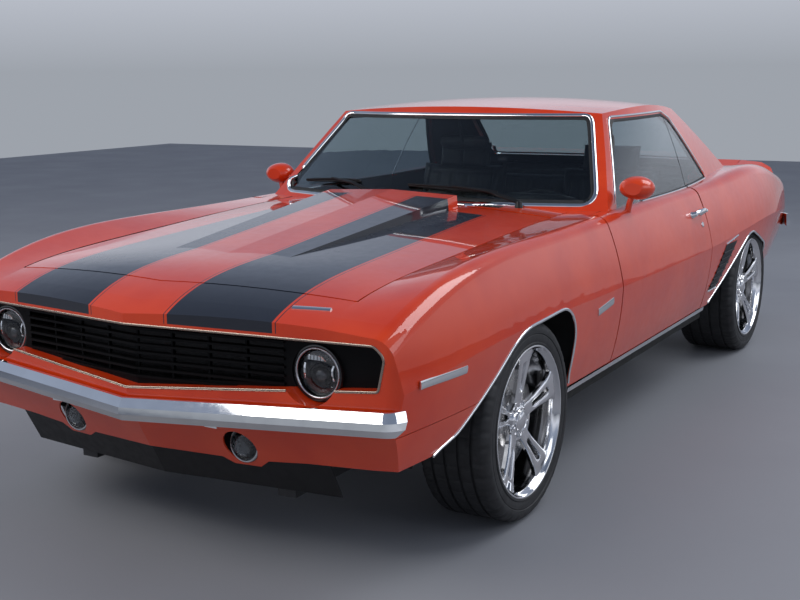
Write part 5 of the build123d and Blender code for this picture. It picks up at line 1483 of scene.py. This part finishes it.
@dataclass
class Cabin:
    """Seats, instruments, steering wheel, console, pedals, mirror, door cards and the rear shelf."""

    seat_x: float = 0.39
    back_lean: float = math.radians(79)
    column_lean: float = math.radians(24)
    wheel_radius: float = 0.182
    wheel_place: Point = (0.385, -0.095, 0.77)
    mirror_place: Point = (-0.01, -0.12, 1.13)
    console_top: float = 0.452

    def build(self) -> None:
        """Make everything inside the car."""
        self.build_front_seats()
        self.build_rear_seat()
        self.build_steering_wheel()
        self.build_instruments()
        self.build_console()
        self.build_pedals()
        self.build_mirror()
        self.build_door_cards()
        self.build_shelf()

    @staticmethod
    def build_shelf() -> None:
        """Make the trimmed shelf behind the rear bench."""
        shelf = Shape("parcel_shelf")
        rows = []
        for y, z, half in ((1.302, 0.56, 0.56), (1.306, 0.872, 0.56), (1.316, 0.886, 0.56),
                           (1.47, 0.913, 0.545), (1.484, 0.934, 0.53)):
            rows.append([(x, y, z) for x in np.linspace(-half, half, 15)])
        shelf.grid(rows)
        shelf.build("body", CABIN_PLASTIC, wall=0.003)

    def build_front_seats(self) -> None:
        """Make two bucket seats on their shells and runners."""
        shells = Shape("front_seat_shells")
        for side, name in SIDES:
            x = self.seat_x * side
            for piece, y, z, lean, width, length, depth, more in (
                ("seat_cushion", 0.285, 0.385, math.radians(-4), 0.47, 0.51, 0.13, {}),
                ("seat_back", 0.585, 0.7, self.back_lean, 0.46, 0.54, 0.1, {"crown": 0.022}),
                ("head_rest", 0.64, 1.012, self.back_lean, 0.27, 0.13, 0.07, {"crown": 0.01, "channels": 0}),
            ):
                Pad(f"{piece}_{name}", (x, y, z), lean, width, length, depth, **more).build()
        x = self.seat_x
        shells.box((x - 0.205, 0.07, 0.268), (x + 0.205, 0.5, 0.312))
        for rail in (-0.17, 0.17):
            shells.box((x + rail - 0.014, 0.06, 0.232), (x + rail + 0.014, 0.52, 0.268))
        rows = []
        for k in range(13):
            up = k / 12
            bulge = 0.018 * math.sin(math.pi * up)
            half = 0.214 - 0.03 * up**3
            y, z = 0.64 + 0.052 * up, 0.43 + 0.54 * up
            rows.append([(x + half * s, y + bulge * (1 - s * s), z) for s in np.linspace(-1, 1, 15)])
        shells.grid(rows)
        shells.slot = 1
        for post in (-0.055, 0.055):
            route = [(x + post, y, z) for y, z in ((0.648, 0.94), (0.655, 0.985), (0.66, 1.02))]
            shells.tube(route, 0.006, 12)
        hinge = [(-0.01, 0.0), (-0.01, 0.03), (0.01, 0.03), (0.01, 0.0)]
        for reach in (-0.222, 0.222):
            shells.lathe(hinge, (x + reach, 0.555, 0.41), (1, 0, 0), 24)
        shells.mirror()
        made = shells.build("body", CABIN_PLASTIC, SATIN_CHROME, bevel=0.003)
        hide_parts("front_seats")

    def build_rear_seat(self) -> None:
        """Make the rear bench with two sitting places."""
        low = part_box("rear_seat")[0][2]
        base = Shape("rear_seat_base")
        base.box((-0.56, 0.905, low), (0.56, 1.19, low + 0.07))
        made = base.build("body", CABIN_PLASTIC, bevel=0.004)
        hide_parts("rear_seat")
        for side, name in ((0.29, "left"), (-0.29, "right")):
            Pad(f"rear_cushion_{name}", (side, 1.035, low + 0.11), math.radians(-6), 0.56, 0.29, 0.1,
                channels=4).build()
            Pad(f"rear_back_{name}", (side, 1.24, 0.7), math.radians(76), 0.56, 0.35, 0.07, crown=0.018,
                channels=4).build()

    def build_steering_wheel(self) -> None:
        """Make the grip, three split spokes and the hub's cap."""
        at = Vector(self.wheel_place)
        axis = Vector((0, math.cos(self.column_lean), math.sin(self.column_lean)))
        across = Vector((1, 0, 0))
        up = axis.cross(across)
        up = up if up.z > 0 else -up
        wheel = Shape("steering_wheel_dressed")
        rows = []
        for k in range(96):
            turn = 2 * math.pi * k / 96
            out = across * math.cos(turn) + up * math.sin(turn)
            grip = 0.0126 + 0.0008 * math.cos(24 * turn)
            rows.append([at + out * (self.wheel_radius + grip * cos) + axis * (grip * sin)
                         for cos, sin in circle(16)])
        wheel.grid(rows, ring=True, loop=True)
        wheel.lathe([(0.011, 0.04), (0.02, 0.038), (0.026, 0.028), (0.028, 0.0)], at, tuple(axis), 48)
        wheel.slot = 1
        for turn in (-math.pi / 2, math.pi / 6, 5 * math.pi / 6):
            out = across * math.cos(turn) + up * math.sin(turn)
            side = axis.cross(out)
            for leg in (-1.0, 1.0):
                rows = []
                for reach, mid, half in ((0.035, 0.017, 0.006), (0.08, 0.013, 0.0045), (0.13, 0.012, 0.0045),
                                         (0.176, 0.017, 0.006)):
                    drop = 0.006 - 0.006 * reach / 0.176
                    rows.append([at + out * reach + side * (leg * mid + a * half) + axis * (drop + b)
                                 for a, b in ((-1, 0.0), (-0.7, 0.0026), (0.7, 0.0026), (1, 0.0),
                                              (0.7, -0.0026), (-0.7, -0.0026))])
                wheel.grid(rows, ring=True, caps=True)
        wheel.lathe([(-0.034, 0.0105), (-0.034, 0.034), (-0.006, 0.044), (0.011, 0.042)], at, tuple(axis), 48)
        made = wheel.build("steering_wheel", CABIN_PLASTIC, SATIN_CHROME, sharp=45.0)
        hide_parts("steering_wheel")

    def build_instruments(self) -> None:
        """Make the hooded dials, the air vents, the centre stack and the glove box."""
        hood, dials = Shape("instrument_hood"), Shape("instrument_dials")
        hood_rows = []
        for x in np.linspace(0.17, 0.6, 25):
            t = (x - 0.385) / 0.215
            rise = 0.03 * max(0.0, 1 - abs(t) ** 4)
            hood_rows.append([(x, y, z) for y, z in (
                (-0.33, 0.902), (-0.29, 0.905 + rise), (-0.225, 0.902 + rise), (-0.206, 0.894 + rise * 0.9),
                (-0.212, 0.884), (-0.224, 0.872))])
        hood.grid(hood_rows)
        for index, (x, radius) in enumerate(((0.32, 0.05), (0.45, 0.05), (0.23, 0.026), (0.54, 0.026))):
            at, axis = Vector((x, -0.216, 0.832)), (0.0, 0.98, 0.14)
            dials.slot = 0
            dials.lathe([(0.0, radius + 0.006), (0.01, radius + 0.005), (0.012, radius),
                         (0.004, radius - 0.002)], at, axis, 48)
            dials.slot = 1
            dials.lathe([(0.003, radius - 0.001), (0.003, 0.0)], at, axis, 48)
            dials.slot = 2
            for k in range(11):
                turn = math.radians(225 - 27 * k)
                out = Vector((-math.cos(turn), 0, math.sin(turn)))
                dials.tube([at + out * (radius * reach) + Vector((0, 0.005, 0)) for reach in (0.78, 0.93)],
                           0.0009, 6)
            needle = math.radians(200 - 40 * index)
            out = Vector((-math.cos(needle), 0, math.sin(needle)))
            dials.tube([at + Vector((0, 0.007, 0)), at + out * (radius * 0.74) + Vector((0, 0.006, 0))],
                       0.0011, 6)
        hood.build("body", CABIN_PLASTIC, wall=0.003)
        dials.build("body", SATIN_CHROME, GLOSS_BLACK, PALE_MARK, sharp=45.0)
        stack = Shape("dash_controls")
        stack.box((-0.13, -0.232, 0.7), (0.13, -0.204, 0.872))
        stack.slot = 1
        for z in (0.836, 0.776):
            stack.box((-0.112, -0.206, z - 0.02), (0.112, -0.199, z + 0.02))
        stack.slot = 2
        for x in (-0.085, 0.0, 0.085):
            stack.lathe([(0.0, 0.017), (0.014, 0.015), (0.017, 0.012), (0.017, 0.0)], (x, -0.204, 0.726),
                        (0, 1, 0.1), 32)
        for x in (-0.64, -0.2, 0.2, 0.64):
            stack.lathe([(0.0, 0.03), (0.008, 0.029), (0.01, 0.026), (0.004, 0.024)], (x, -0.214, 0.858),
                        (0, 1, 0.1), 32)
            for k in range(-2, 3):
                stack.box((x - 0.022, -0.212, 0.857 + 0.009 * k), (x + 0.022, -0.207, 0.86 + 0.009 * k))
        stack.slot = 0
        stack.box((-0.6, -0.224, 0.722), (-0.24, -0.208, 0.824))
        stack.slot = 2
        stack.box((-0.44, -0.209, 0.806), (-0.4, -0.202, 0.816))
        stack.build("body", CABIN_PLASTIC, GLOSS_BLACK, SATIN_CHROME, bevel=0.003)

    def build_console(self) -> None:
        """Make the tunnel console with its lever, gaiter and knob."""
        top = self.console_top
        console = Shape("console")
        rows = []
        for y, half, z in ((-0.27, 0.115, 0.64), (-0.2, 0.11, 0.56), (-0.1, 0.105, top), (0.15, 0.1, top),
                           (0.33, 0.098, 0.52), (0.56, 0.098, 0.53), (0.6, 0.095, 0.47)):
            rows.append([(-half, y, 0.25), (-half, y, z - 0.02), (-half + 0.016, y, z), (half - 0.016, y, z),
                         (half, y, z - 0.02), (half, y, 0.25)])
        console.grid(rows, ring=True, caps=True)
        console.slot = 1
        console.lathe([(0.0, 0.058), (0.006, 0.056), (0.008, 0.05), (0.008, 0.0)], (0.0, -0.02, top - 0.002),
                      UP, 40)
        console.slot = 2
        console.lathe([(0.006, 0.045), (0.02, 0.036), (0.04, 0.022), (0.058, 0.012), (0.06, 0.0)],
                      (0.0, -0.02, top), UP, 36)
        console.slot = 1
        lever = [(0.0, -0.02, top + 0.04), (0.0, -0.012, top + 0.1), (0.0, 0.004, top + 0.15)]
        console.tube(lever, 0.006, 14)
        console.slot = 2
        console.lathe([(-0.012, 0.0), (-0.012, 0.01), (0.004, 0.018), (0.02, 0.021), (0.036, 0.015),
                       (0.042, 0.0)],
                      (0.0, 0.006, top + 0.158), (0, 0.12, 1), 32)
        console.build("body", CABIN_PLASTIC, SATIN_CHROME, LEATHER, bevel=0.003)

    def build_pedals(self) -> None:
        """Make three ribbed pedals that hang under the dashboard."""
        pedals = Shape("pedals")
        for x, half, z in ((0.275, 0.022, 0.36), (0.385, 0.034, 0.385), (0.49, 0.032, 0.385)):
            pedals.slot = 0
            pedals.tube([(x, -0.56, 0.7), (x, -0.545, 0.56), (x, -0.52, z + 0.02)], 0.007, 10)
            pedals.box((x - half, -0.522, z - 0.04), (x + half, -0.508, z + 0.03))
            pedals.slot = 1
            for k in range(5):
                pedals.box((x - half + 0.003, -0.508, z - 0.036 + 0.014 * k),
                           (x + half - 0.003, -0.503, z - 0.029 + 0.014 * k))
        pedals.build("body", SATIN_CHROME, RUBBER, bevel=0.002)

    def build_mirror(self) -> None:
        """Make the interior mirror on its arm at the head of the windshield."""
        mirror = Shape("cabin_mirror")
        at = Vector(self.mirror_place)

        def ring(wide: float, tall: float, depth: float) -> list[Vector]:
            """One squarish ring of the mirror."""
            return [at + Vector((wide * math.copysign(abs(cos) ** 0.5, cos), depth,
                                 tall * math.copysign(abs(sin) ** 0.7, sin))) for cos, sin in circle(40)]

        rings = ((0.3, -0.022), (0.85, -0.016), (1.0, -0.004), (1.0, 0.004), (0.94, 0.005))
        mirror.grid([ring(0.118 * s, 0.031 * s, depth) for s, depth in rings], ring=True, caps=True)
        mirror.tube([at + Vector((0, y, z)) for y, z in ((-0.02, 0), (-0.03, 0.03), (-0.05, 0.1))], 0.006, 12)
        mirror.slot = 1
        mirror.grid([ring(0.112 * s, 0.028 * s, 0.0054) for s in (1.0, 0.5, 0.01)], ring=True)
        mirror.build("body", CABIN_PLASTIC, MIRROR, sharp=50.0)

    def build_door_cards(self) -> None:
        """Make a padded card, an armrest, a pull and a window winder on each door."""
        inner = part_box("door_left")[0][0]
        for side, name in SIDES:
            card = Shape(f"door_card_door_{name}")
            x = inner + 0.0005
            card.box((x - 0.01, -0.48, 0.44), (x + 0.004, 0.44, 0.85))
            card.slot = 1
            card.box((x - 0.062, -0.18, 0.595), (x - 0.004, 0.24, 0.635))
            card.slot = 0
            card.box((x - 0.014, -0.44, 0.47), (x - 0.008, 0.4, 0.56))
            card.slot = 2
            for k in range(3):
                z = 0.676 + 0.038 * k
                card.box((x - 0.0125, -0.43, z), (x - 0.009, 0.4, z + 0.005))
            pull = [(x - 0.012, 0.18, 0.76), (x - 0.034, 0.185, 0.76), (x - 0.036, 0.27, 0.752)]
            card.tube(pull, 0.006, 10)
            card.lathe([(0.0, 0.026), (0.006, 0.024), (0.008, 0.0)], (x - 0.01, -0.1, 0.525), (-1, 0, 0), 32)
            card.tube([(x - 0.018, -0.1, 0.525), (x - 0.024, -0.06, 0.5), (x - 0.028, -0.01, 0.478),
                       (x - 0.05, -0.008, 0.476)], 0.006, 10)
            if side < 0:
                card.flip()
            card.build(f"door_{name}", CABIN_PLASTIC, LEATHER, SATIN_CHROME, bevel=0.004)


@dataclass
class Wipers:
    """Two parked wipers: capped pivots, tapered arms and rubber blades on the glass."""

    blades: tuple[tuple[Flat, Flat], ...] = (((-0.045, 0.976), (0.355, 0.96)), ((-0.61, 0.968), (-0.3, 0.98)))
    pivots: tuple[Flat, ...] = ((0.47, -0.59), (-0.17, -0.64))
    lift: float = 0.02

    def build(self) -> None:
        """Make both wipers."""
        glass, cowl = Skin("fixed_glass"), Skin("cowl_panel")
        shape = Shape("wipers_dressed")
        for ((x0, z0), (x1, z1)), (px, py) in zip(self.blades, self.pivots):
            line = [(x0 + (x1 - x0) * t, z0 + (z1 - z0) * t) for t in np.linspace(0, 1, 22)]
            points, normals = glass.line(Side.FRONT, line)
            shape.slot = 0
            rubber = [(-0.0035, 0.0006), (-0.006, 0.01), (0.006, 0.01), (0.0035, 0.0006)]
            shape.sweep(points, normals, rubber)
            bow = [p + n * (0.011 + 0.007 * math.sin(math.pi * k / (len(points) - 1)))
                   for k, (p, n) in enumerate(zip(points, normals))]
            shape.slot = 1
            shape.sweep(bow, normals, [(-0.0045, -0.0025), (-0.003, 0.003), (0.003, 0.003),
                                       (0.0045, -0.0025)])
            middle = len(points) // 2
            tip = points[middle] + normals[middle] * (self.lift + 0.004)
            top = cowl.cast(Side.TOP, px, py)
            foot = Vector((px, py, (top[0].z if top else 0.915)))
            shape.lathe([(-0.004, 0.017), (0.006, 0.016), (0.01, 0.013), (0.022, 0.012), (0.026, 0.009),
                         (0.027, 0.0)],
                        foot, UP, 28)
            start = foot + Vector((0, 0, 0.02))
            knee = start.lerp(tip, 0.45) + Vector((0, -0.004, 0.016))
            route = [start.lerp(knee, t) for t in np.linspace(0, 1, 6)][:-1] + [knee.lerp(tip, t)
                                                                                for t in np.linspace(0, 1, 8)]
            rows = []
            for k, point in enumerate(route):
                share = k / (len(route) - 1)
                half = 0.01 - 0.0055 * share
                along = (tip - start).normalized()
                side = along.cross(Vector((0, -0.6, 0.8))).normalized()
                up = side.cross(along).normalized()
                rows.append([point + side * (a * half) + up * b for a, b in
                             ((-1, -0.002), (-0.8, 0.004), (0.8, 0.004), (1, -0.002))])
            shape.grid(rows, ring=True, caps=True)
        made = shape.build("body", RUBBER, SATIN_BLACK, bevel=0.0008, sharp=45.0)
        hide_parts("wipers")


@dataclass
class CowlVents:
    """The slatted air inlet between the hood and the windshield, and the hood's rear inlet."""

    spans: tuple[Flat, ...] = ((0.11, 0.42), (-0.42, -0.11))
    front_y: float = -0.7
    depth_y: float = 0.05
    sweep_back: float = 0.1
    slats: int = 26
    bulge_half: float = 0.262
    bulge_y: float = -0.7712
    bulge_low: float = 0.914
    bulge_high: float = 0.96
    wires: int = 34

    def build(self) -> None:
        """Make the slatted panels, the mesh behind the hood's bulge and the cowl's corners."""
        self.build_inlets()
        self.build_bulge_inlet()
        self.build_corners()

    def build_inlets(self) -> None:
        """Make the dark panels with their slats."""
        skin = Skin("cowl_panel")
        panel, slats = Shape("cowl_inlets"), Shape("cowl_slats")
        for low, high in self.spans:
            rows = []
            for y in np.linspace(self.front_y, self.front_y + self.depth_y, 4):
                line = [(x, y + abs(x) * self.sweep_back) for x in np.linspace(low, high, 18)]
                points, normals = skin.line(Side.TOP, line)
                rows.append([p + n * STAND_OFF for p, n in zip(points, normals)])
            panel.grid(rows)
            for x in np.linspace(low + 0.008, high - 0.008, self.slats):
                back = abs(x) * self.sweep_back
                line = [(x, self.front_y + self.depth_y * t + back) for t in np.linspace(0.06, 0.94, 4)]
                slats.strip(skin, Side.TOP, line, 0.005, 0.004)
        panel.build("body", DEEP_BLACK)
        slats.build("body", SATIN_BLACK, sharp=60.0)

    @staticmethod
    def build_corners() -> None:
        """Make the painted plates that close the cowl's corners ahead of the windshield pillars."""
        corner = Shape("cowl_corners")
        corner.grid([[(x, y, 0.9 + 0.03 * (y + 0.622)) for y in np.linspace(-0.622, rear, 6)]
                     for x, rear in ((0.66, -0.516), (0.695, -0.505), (0.73, -0.492), (0.766, -0.478))])
        corner.mirror()
        corner.build("body", PAINT)

    def build_bulge_inlet(self) -> None:
        """Make the dark mesh in the rear end of the hood's bulge."""
        inlet = Shape("bulge_inlet")
        half, y, low, high = self.bulge_half, self.bulge_y, self.bulge_low, self.bulge_high
        inlet.grid([[(-half, y, z), (half, y, z)] for z in (low, high)])
        inlet.slot = 1
        for k in range(1, self.wires):
            x = -half + 2 * half * k / self.wires
            inlet.box((x - 0.0011, y, low), (x + 0.0011, y + 0.003, high))
        for z in (low, 0.9293, 0.9446, 0.958):
            inlet.box((-half, y + 0.0004, z), (half, y + 0.0034, z + 0.0022))
        inlet.build("hood", DEEP_BLACK, SATIN_BLACK)


@dataclass
class EngineBay:
    """What shows under the open hood: covers, air cleaner, radiator, battery and hoses."""

    deck: float = 0.8
    cover_x: float = 0.17
    cleaner: Point = (0.0, -1.56, 0.8)

    def build(self) -> None:
        """Make the pieces on the engine and beside it."""
        self.build_engine_top()
        self.build_cooling()
        self.build_service_pieces()

    def build_engine_top(self) -> None:
        """Make the finned covers, the intake, the exhaust manifolds and the round air cleaner."""
        top = Shape("engine_top")
        for side in (-1.0, 1.0):
            x = self.cover_x * side
            rows = []
            for y, shrink in ((-1.9, 0.92), (-1.89, 1.0), (-1.27, 1.0), (-1.26, 0.92)):
                half = [(0.062, -0.002), (0.056, 0.036 * shrink), (0.036, 0.048 * shrink)]
                rows.append([(x - a * shrink, y, self.deck + b) for a, b in half]
                            + [(x + a * shrink, y, self.deck + b) for a, b in reversed(half)])
            top.grid(rows, ring=True, caps=True)
            for k in range(7):
                fin = x - 0.027 + 0.009 * k
                top.box((fin - 0.0014, -1.84, self.deck + 0.047), (fin + 0.0014, -1.32, self.deck + 0.053))
            top.lathe([(0.0, 0.02), (0.012, 0.019), (0.016, 0.014), (0.016, 0.0)],
                      (x, -1.868, self.deck + 0.046), UP, 28)
        top.slot = 1
        rows = []
        for y in (-1.86, -1.3):
            rows.append([(x, y, self.deck + z) for x, z in ((-0.1, -0.002), (-0.08, 0.02), (0.08, 0.02),
                                                            (0.1, -0.002))])
        top.grid(rows, ring=True, caps=True)
        for side in (-1.0, 1.0):
            for k in range(4):
                y = -1.8 + 0.15 * k
                top.tube([(side * 0.268, y, 0.7), (side * 0.3, y, 0.69), (side * 0.318, y + 0.01, 0.64),
                          (side * 0.316, y + 0.03, 0.56)], 0.018, 12)
        top.slot = 0
        top.lathe([(0.018, 0.055), (0.02, 0.168), (0.024, 0.172), (0.028, 0.168)], self.cleaner, UP, 72)
        top.lathe([(0.05, 0.168), (0.054, 0.173), (0.058, 0.168), (0.062, 0.12), (0.064, 0.03), (0.07, 0.012),
                   (0.072, 0.0)],
                  self.cleaner, UP, 72)
        top.slot = 2
        rows = []
        middle_x, middle_y, foot = self.cleaner
        for k, (cos, sin) in enumerate(circle(144)):
            radius = 0.16 if k % 2 else 0.154
            rows.append([(middle_x + radius * cos, middle_y + radius * sin, foot + z)
                         for z in (0.026, 0.052)])
        top.grid(rows, loop=True)
        top.build("body", CHROME, CAST_METAL, FILTER_PAPER, bevel=0.0015, sharp=35.0)

    def build_cooling(self) -> None:
        """Make the radiator with its fins, tanks, cap and hoses."""
        cool = Shape("radiator")
        cool.box((-0.33, -2.036, 0.44), (0.33, -1.998, 0.76))
        cool.slot = 1
        for k in range(60):
            x = -0.315 + 0.63 * k / 59
            cool.box((x - 0.0015, -1.999, 0.452), (x + 0.0015, -1.995, 0.748))
        cool.slot = 0
        cool.box((-0.372, -2.038, 0.43), (-0.33, -1.994, 0.77))
        cool.box((0.33, -2.038, 0.43), (0.372, -1.994, 0.77))
        cap = [(0.0, 0.024), (0.008, 0.026), (0.014, 0.022), (0.016, 0.0)]
        cool.lathe(cap, (-0.35, -2.016, 0.77), UP, 28)
        cool.slot = 2
        for path in (((0.35, -2.0, 0.72), (0.3, -1.965, 0.735), (0.19, -1.95, 0.79), (0.08, -1.93, 0.812),
                      (0.06, -1.86, 0.815)),
                     ((-0.35, -2.0, 0.48), (-0.32, -1.972, 0.478), (-0.292, -1.966, 0.48),
                      (-0.278, -1.958, 0.484))):
            cool.tube(path, 0.019, 14)
        cool.build("body", SATIN_BLACK, DISC_STEEL, SEAL_RUBBER, bevel=0.002)

    def build_service_pieces(self) -> None:
        """Make the battery, the brake booster, its cylinder and the fluid box on it."""
        service = Shape("bay_service")
        service.box((-0.455, -1.0, 0.56), (-0.3, -0.85, 0.74))
        for x in (-0.425, -0.33):
            service.lathe([(0.0, 0.009), (0.016, 0.008), (0.016, 0.0)], (x, -0.96, 0.74), UP, 20)
        for k in range(6):
            at = (-0.442 + 0.026 * k, -0.9, 0.74)
            service.lathe([(0.0, 0.009), (0.003, 0.009), (0.004, 0.0)], at, UP, 20)
        service.slot = 1
        service.lathe([(0.0, 0.06), (0.01, 0.11), (0.045, 0.114), (0.05, 0.108), (0.08, 0.06), (0.084, 0.0)],
                      (0.36, -0.805, 0.7), (0, -1, 0), 48)
        service.lathe([(0.08, 0.026), (0.21, 0.026), (0.214, 0.0)], (0.36, -0.805, 0.7), (0, -1, 0), 28)
        service.slot = 2
        service.box((0.33, -1.01, 0.724), (0.39, -0.905, 0.762))
        service.build("body", SATIN_BLACK, SATIN_CHROME, CAST_METAL, bevel=0.003)


@dataclass
class TailPieces:
    """The filler cap, the lid's lock, the exhaust tips and the dark band between the tail lamps."""

    tip_x: float = 0.36
    tip_z: float = 0.3

    def build(self) -> None:
        """Make the small pieces at the rear."""
        skin = Skin("tail_panel", "rear_bumper")
        cap = Shape("tail_fittings")
        for x, z, radius in ((0.0, 0.69, 0.046), (0.0, 0.775, 0.013)):
            hit = skin.cast(Side.REAR, x, z)
            if hit:
                cap.lathe([(-0.002, radius), (0.006, radius - 0.001), (0.01, radius * 0.88),
                           (0.008, radius * 0.75), (0.009, radius * 0.2), (0.01, 0.0)], hit[0], (0, 1, 0), 48)
        for side in (-1.0, 1.0):
            at = (self.tip_x * side, 2.235, self.tip_z)
            cap.lathe([(0.0, 0.029), (0.0, 0.0335), (0.11, 0.037), (0.116, 0.0362), (0.116, 0.0335),
                       (0.1, 0.031), (0.02, 0.03)],
                      at, (0, 1, -0.04), 48, ring=True)
        cap.build("body", CHROME, sharp=45.0)
        band = Shape("tail_band")
        rows = []
        for z in np.linspace(0.632, 0.743, 4):
            points, normals = skin.line(Side.REAR, [(x, z) for x in np.linspace(-0.322, 0.322, 30)])
            rows.append([p + n * 0.001 for p, n in zip(points, normals)])
        band.grid(rows)
        band.build("body", SATIN_BLACK)


@dataclass
class Studio:
    """Grey floor, a graded sky, soft lights and the camera at the photograph's angle."""

    camera_at: Point = (2.425, -4.855, 1.454)
    yaw: float = -30.35
    pitch: float = -10.94
    roll: float = -0.59
    lens: float = 53.93
    floor_half: float = 14.0
    floor_colour: Colour = (0.25, 0.255, 0.275)
    sky: tuple[tuple[float, Colour], ...] = (
        (0.0, (0.4, 0.43, 0.48)), (0.16, (0.84, 0.88, 1.0)), (0.34, (0.36, 0.42, 0.55)),
        (1.0, (0.1, 0.13, 0.2)),
    )
    world_strength: float = 0.85

    def build(self) -> None:
        """Make the floor, the lights, the sky and the camera."""
        self.make_floor()
        self.make_world()
        bpy.context.scene.view_settings.view_transform = "Standard"
        self.make_light("key_light", (-3.5, -5.5, 5.5), 7.0, 3.0, 300.0, (1.0, 0.97, 0.93))
        self.make_light("fill_light", (6.5, -1.0, 4.0), 6.0, 3.0, 90.0, (0.93, 0.96, 1.0))
        self.make_light("top_light", (3.4, 2.4, 6.0), 4.5, 4.0, 230.0, (0.95, 0.97, 1.0))
        self.make_camera()

    def make_floor(self) -> None:
        """Lay a plain grey floor that the tyres stand on."""
        mesh = bpy.data.meshes.new("studio_floor")
        h = self.floor_half
        mesh.from_pydata([(-h, -h, 0), (h, -h, 0), (h, h, 0), (-h, h, 0)], [], [(0, 1, 2, 3)])
        floor = bpy.data.objects.new("studio_floor", mesh)
        bpy.context.scene.collection.objects.link(floor)
        finish = Finish("floor_finish", self.floor_colour, 0.6, variation=0.03, scale=0.6,
                        grain=(Grain.CAST, 120.0, 0.0003))
        mesh.materials.append(finish.material())

    def make_world(self) -> None:
        """Set a grey-blue sky, brightest a little above the horizon and deep overhead."""
        world = bpy.data.worlds.new("studio_sky")
        world.use_nodes = True
        tree = world.node_tree
        ramp = tree.nodes.new("ShaderNodeValToRGB")
        for index, (height, colour) in enumerate(self.sky):
            stop = ramp.color_ramp.elements[index] if index < 2 else ramp.color_ramp.elements.new(height)
            stop.position = height
            stop.color = (*colour, 1.0)
        split = tree.nodes.new("ShaderNodeSeparateXYZ")
        tree.links.new(tree.nodes.new("ShaderNodeTexCoord").outputs["Generated"], split.inputs[0])
        tree.links.new(split.outputs["Z"], ramp.inputs["Fac"])
        background = tree.nodes["Background"]
        tree.links.new(ramp.outputs["Color"], background.inputs["Color"])
        background.inputs["Strength"].default_value = self.world_strength
        bpy.context.scene.world = world

    @staticmethod
    def make_light(name: str, place: Point, width: float, height: float, power: float,
                   colour: Colour) -> None:
        """Hang a soft rectangular light that points at the car.

        Args:
            name: The light's name.
            place: Where it hangs.
            width: Its width in metres.
            height: Its height in metres.
            power: Its power in watts.
            colour: Its colour.
        """
        data = bpy.data.lights.new(name, "AREA")
        data.shape = "RECTANGLE"
        data.size, data.size_y = width, height
        data.energy = power
        data.color = colour
        light = bpy.data.objects.new(name, data)
        light.location = place
        light.rotation_mode = "QUATERNION"
        light.rotation_quaternion = (Vector((0, 0, 0.6)) - Vector(place)).to_track_quat("-Z", "Y")
        bpy.context.scene.collection.objects.link(light)

    def make_camera(self) -> None:
        """Place the camera that the photograph was solved for."""
        data = bpy.data.cameras.new("camera")
        data.sensor_width = 36.0
        data.lens = self.lens
        data.clip_end = 200.0
        camera = bpy.data.objects.new("camera", data)
        yaw, pitch, roll = (math.radians(a) for a in (self.yaw, self.pitch, self.roll))
        look = Vector((math.sin(yaw) * math.cos(pitch), math.cos(yaw) * math.cos(pitch), math.sin(pitch)))
        right = look.cross(Vector(UP)).normalized()
        up = right.cross(look)
        across = right * math.cos(roll) + up * math.sin(roll)
        above = up * math.cos(roll) - right * math.sin(roll)
        turn = Matrix((across, above, -look)).transposed()
        camera.matrix_world = Matrix.Translation(self.camera_at) @ turn.to_4x4()
        bpy.context.scene.collection.objects.link(camera)
        bpy.context.scene.camera = camera


def main() -> None:
    """Dress the car, set the stage and place the camera."""
    logging.basicConfig(level=logging.INFO, format="%(message)s")
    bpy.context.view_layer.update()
    dress_nodes()
    for group in car():
        group.build()
        log.info("%s is in place", type(group).__name__)
    Studio().build()
    write_sizes()


def car() -> list:
    """Every group of pieces that is added to the solids, in order."""
    groups = [BrightTrim(), Lamps(), BodyDetails()]
    for end, y, width in (("f", FRONT_AXLE_Y, 0.245), ("r", REAR_AXLE_Y, 0.285)):
        groups += [Wheel(end + side, y, width) for side in "lr"]
    groups += [Cabin(), Wipers(), CowlVents(), EngineBay(), TailPieces()]
    return groups


def write_sizes() -> None:
    """Bring the view layer up to date.
    """
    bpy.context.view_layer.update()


if __name__ == "__main__":
    main()
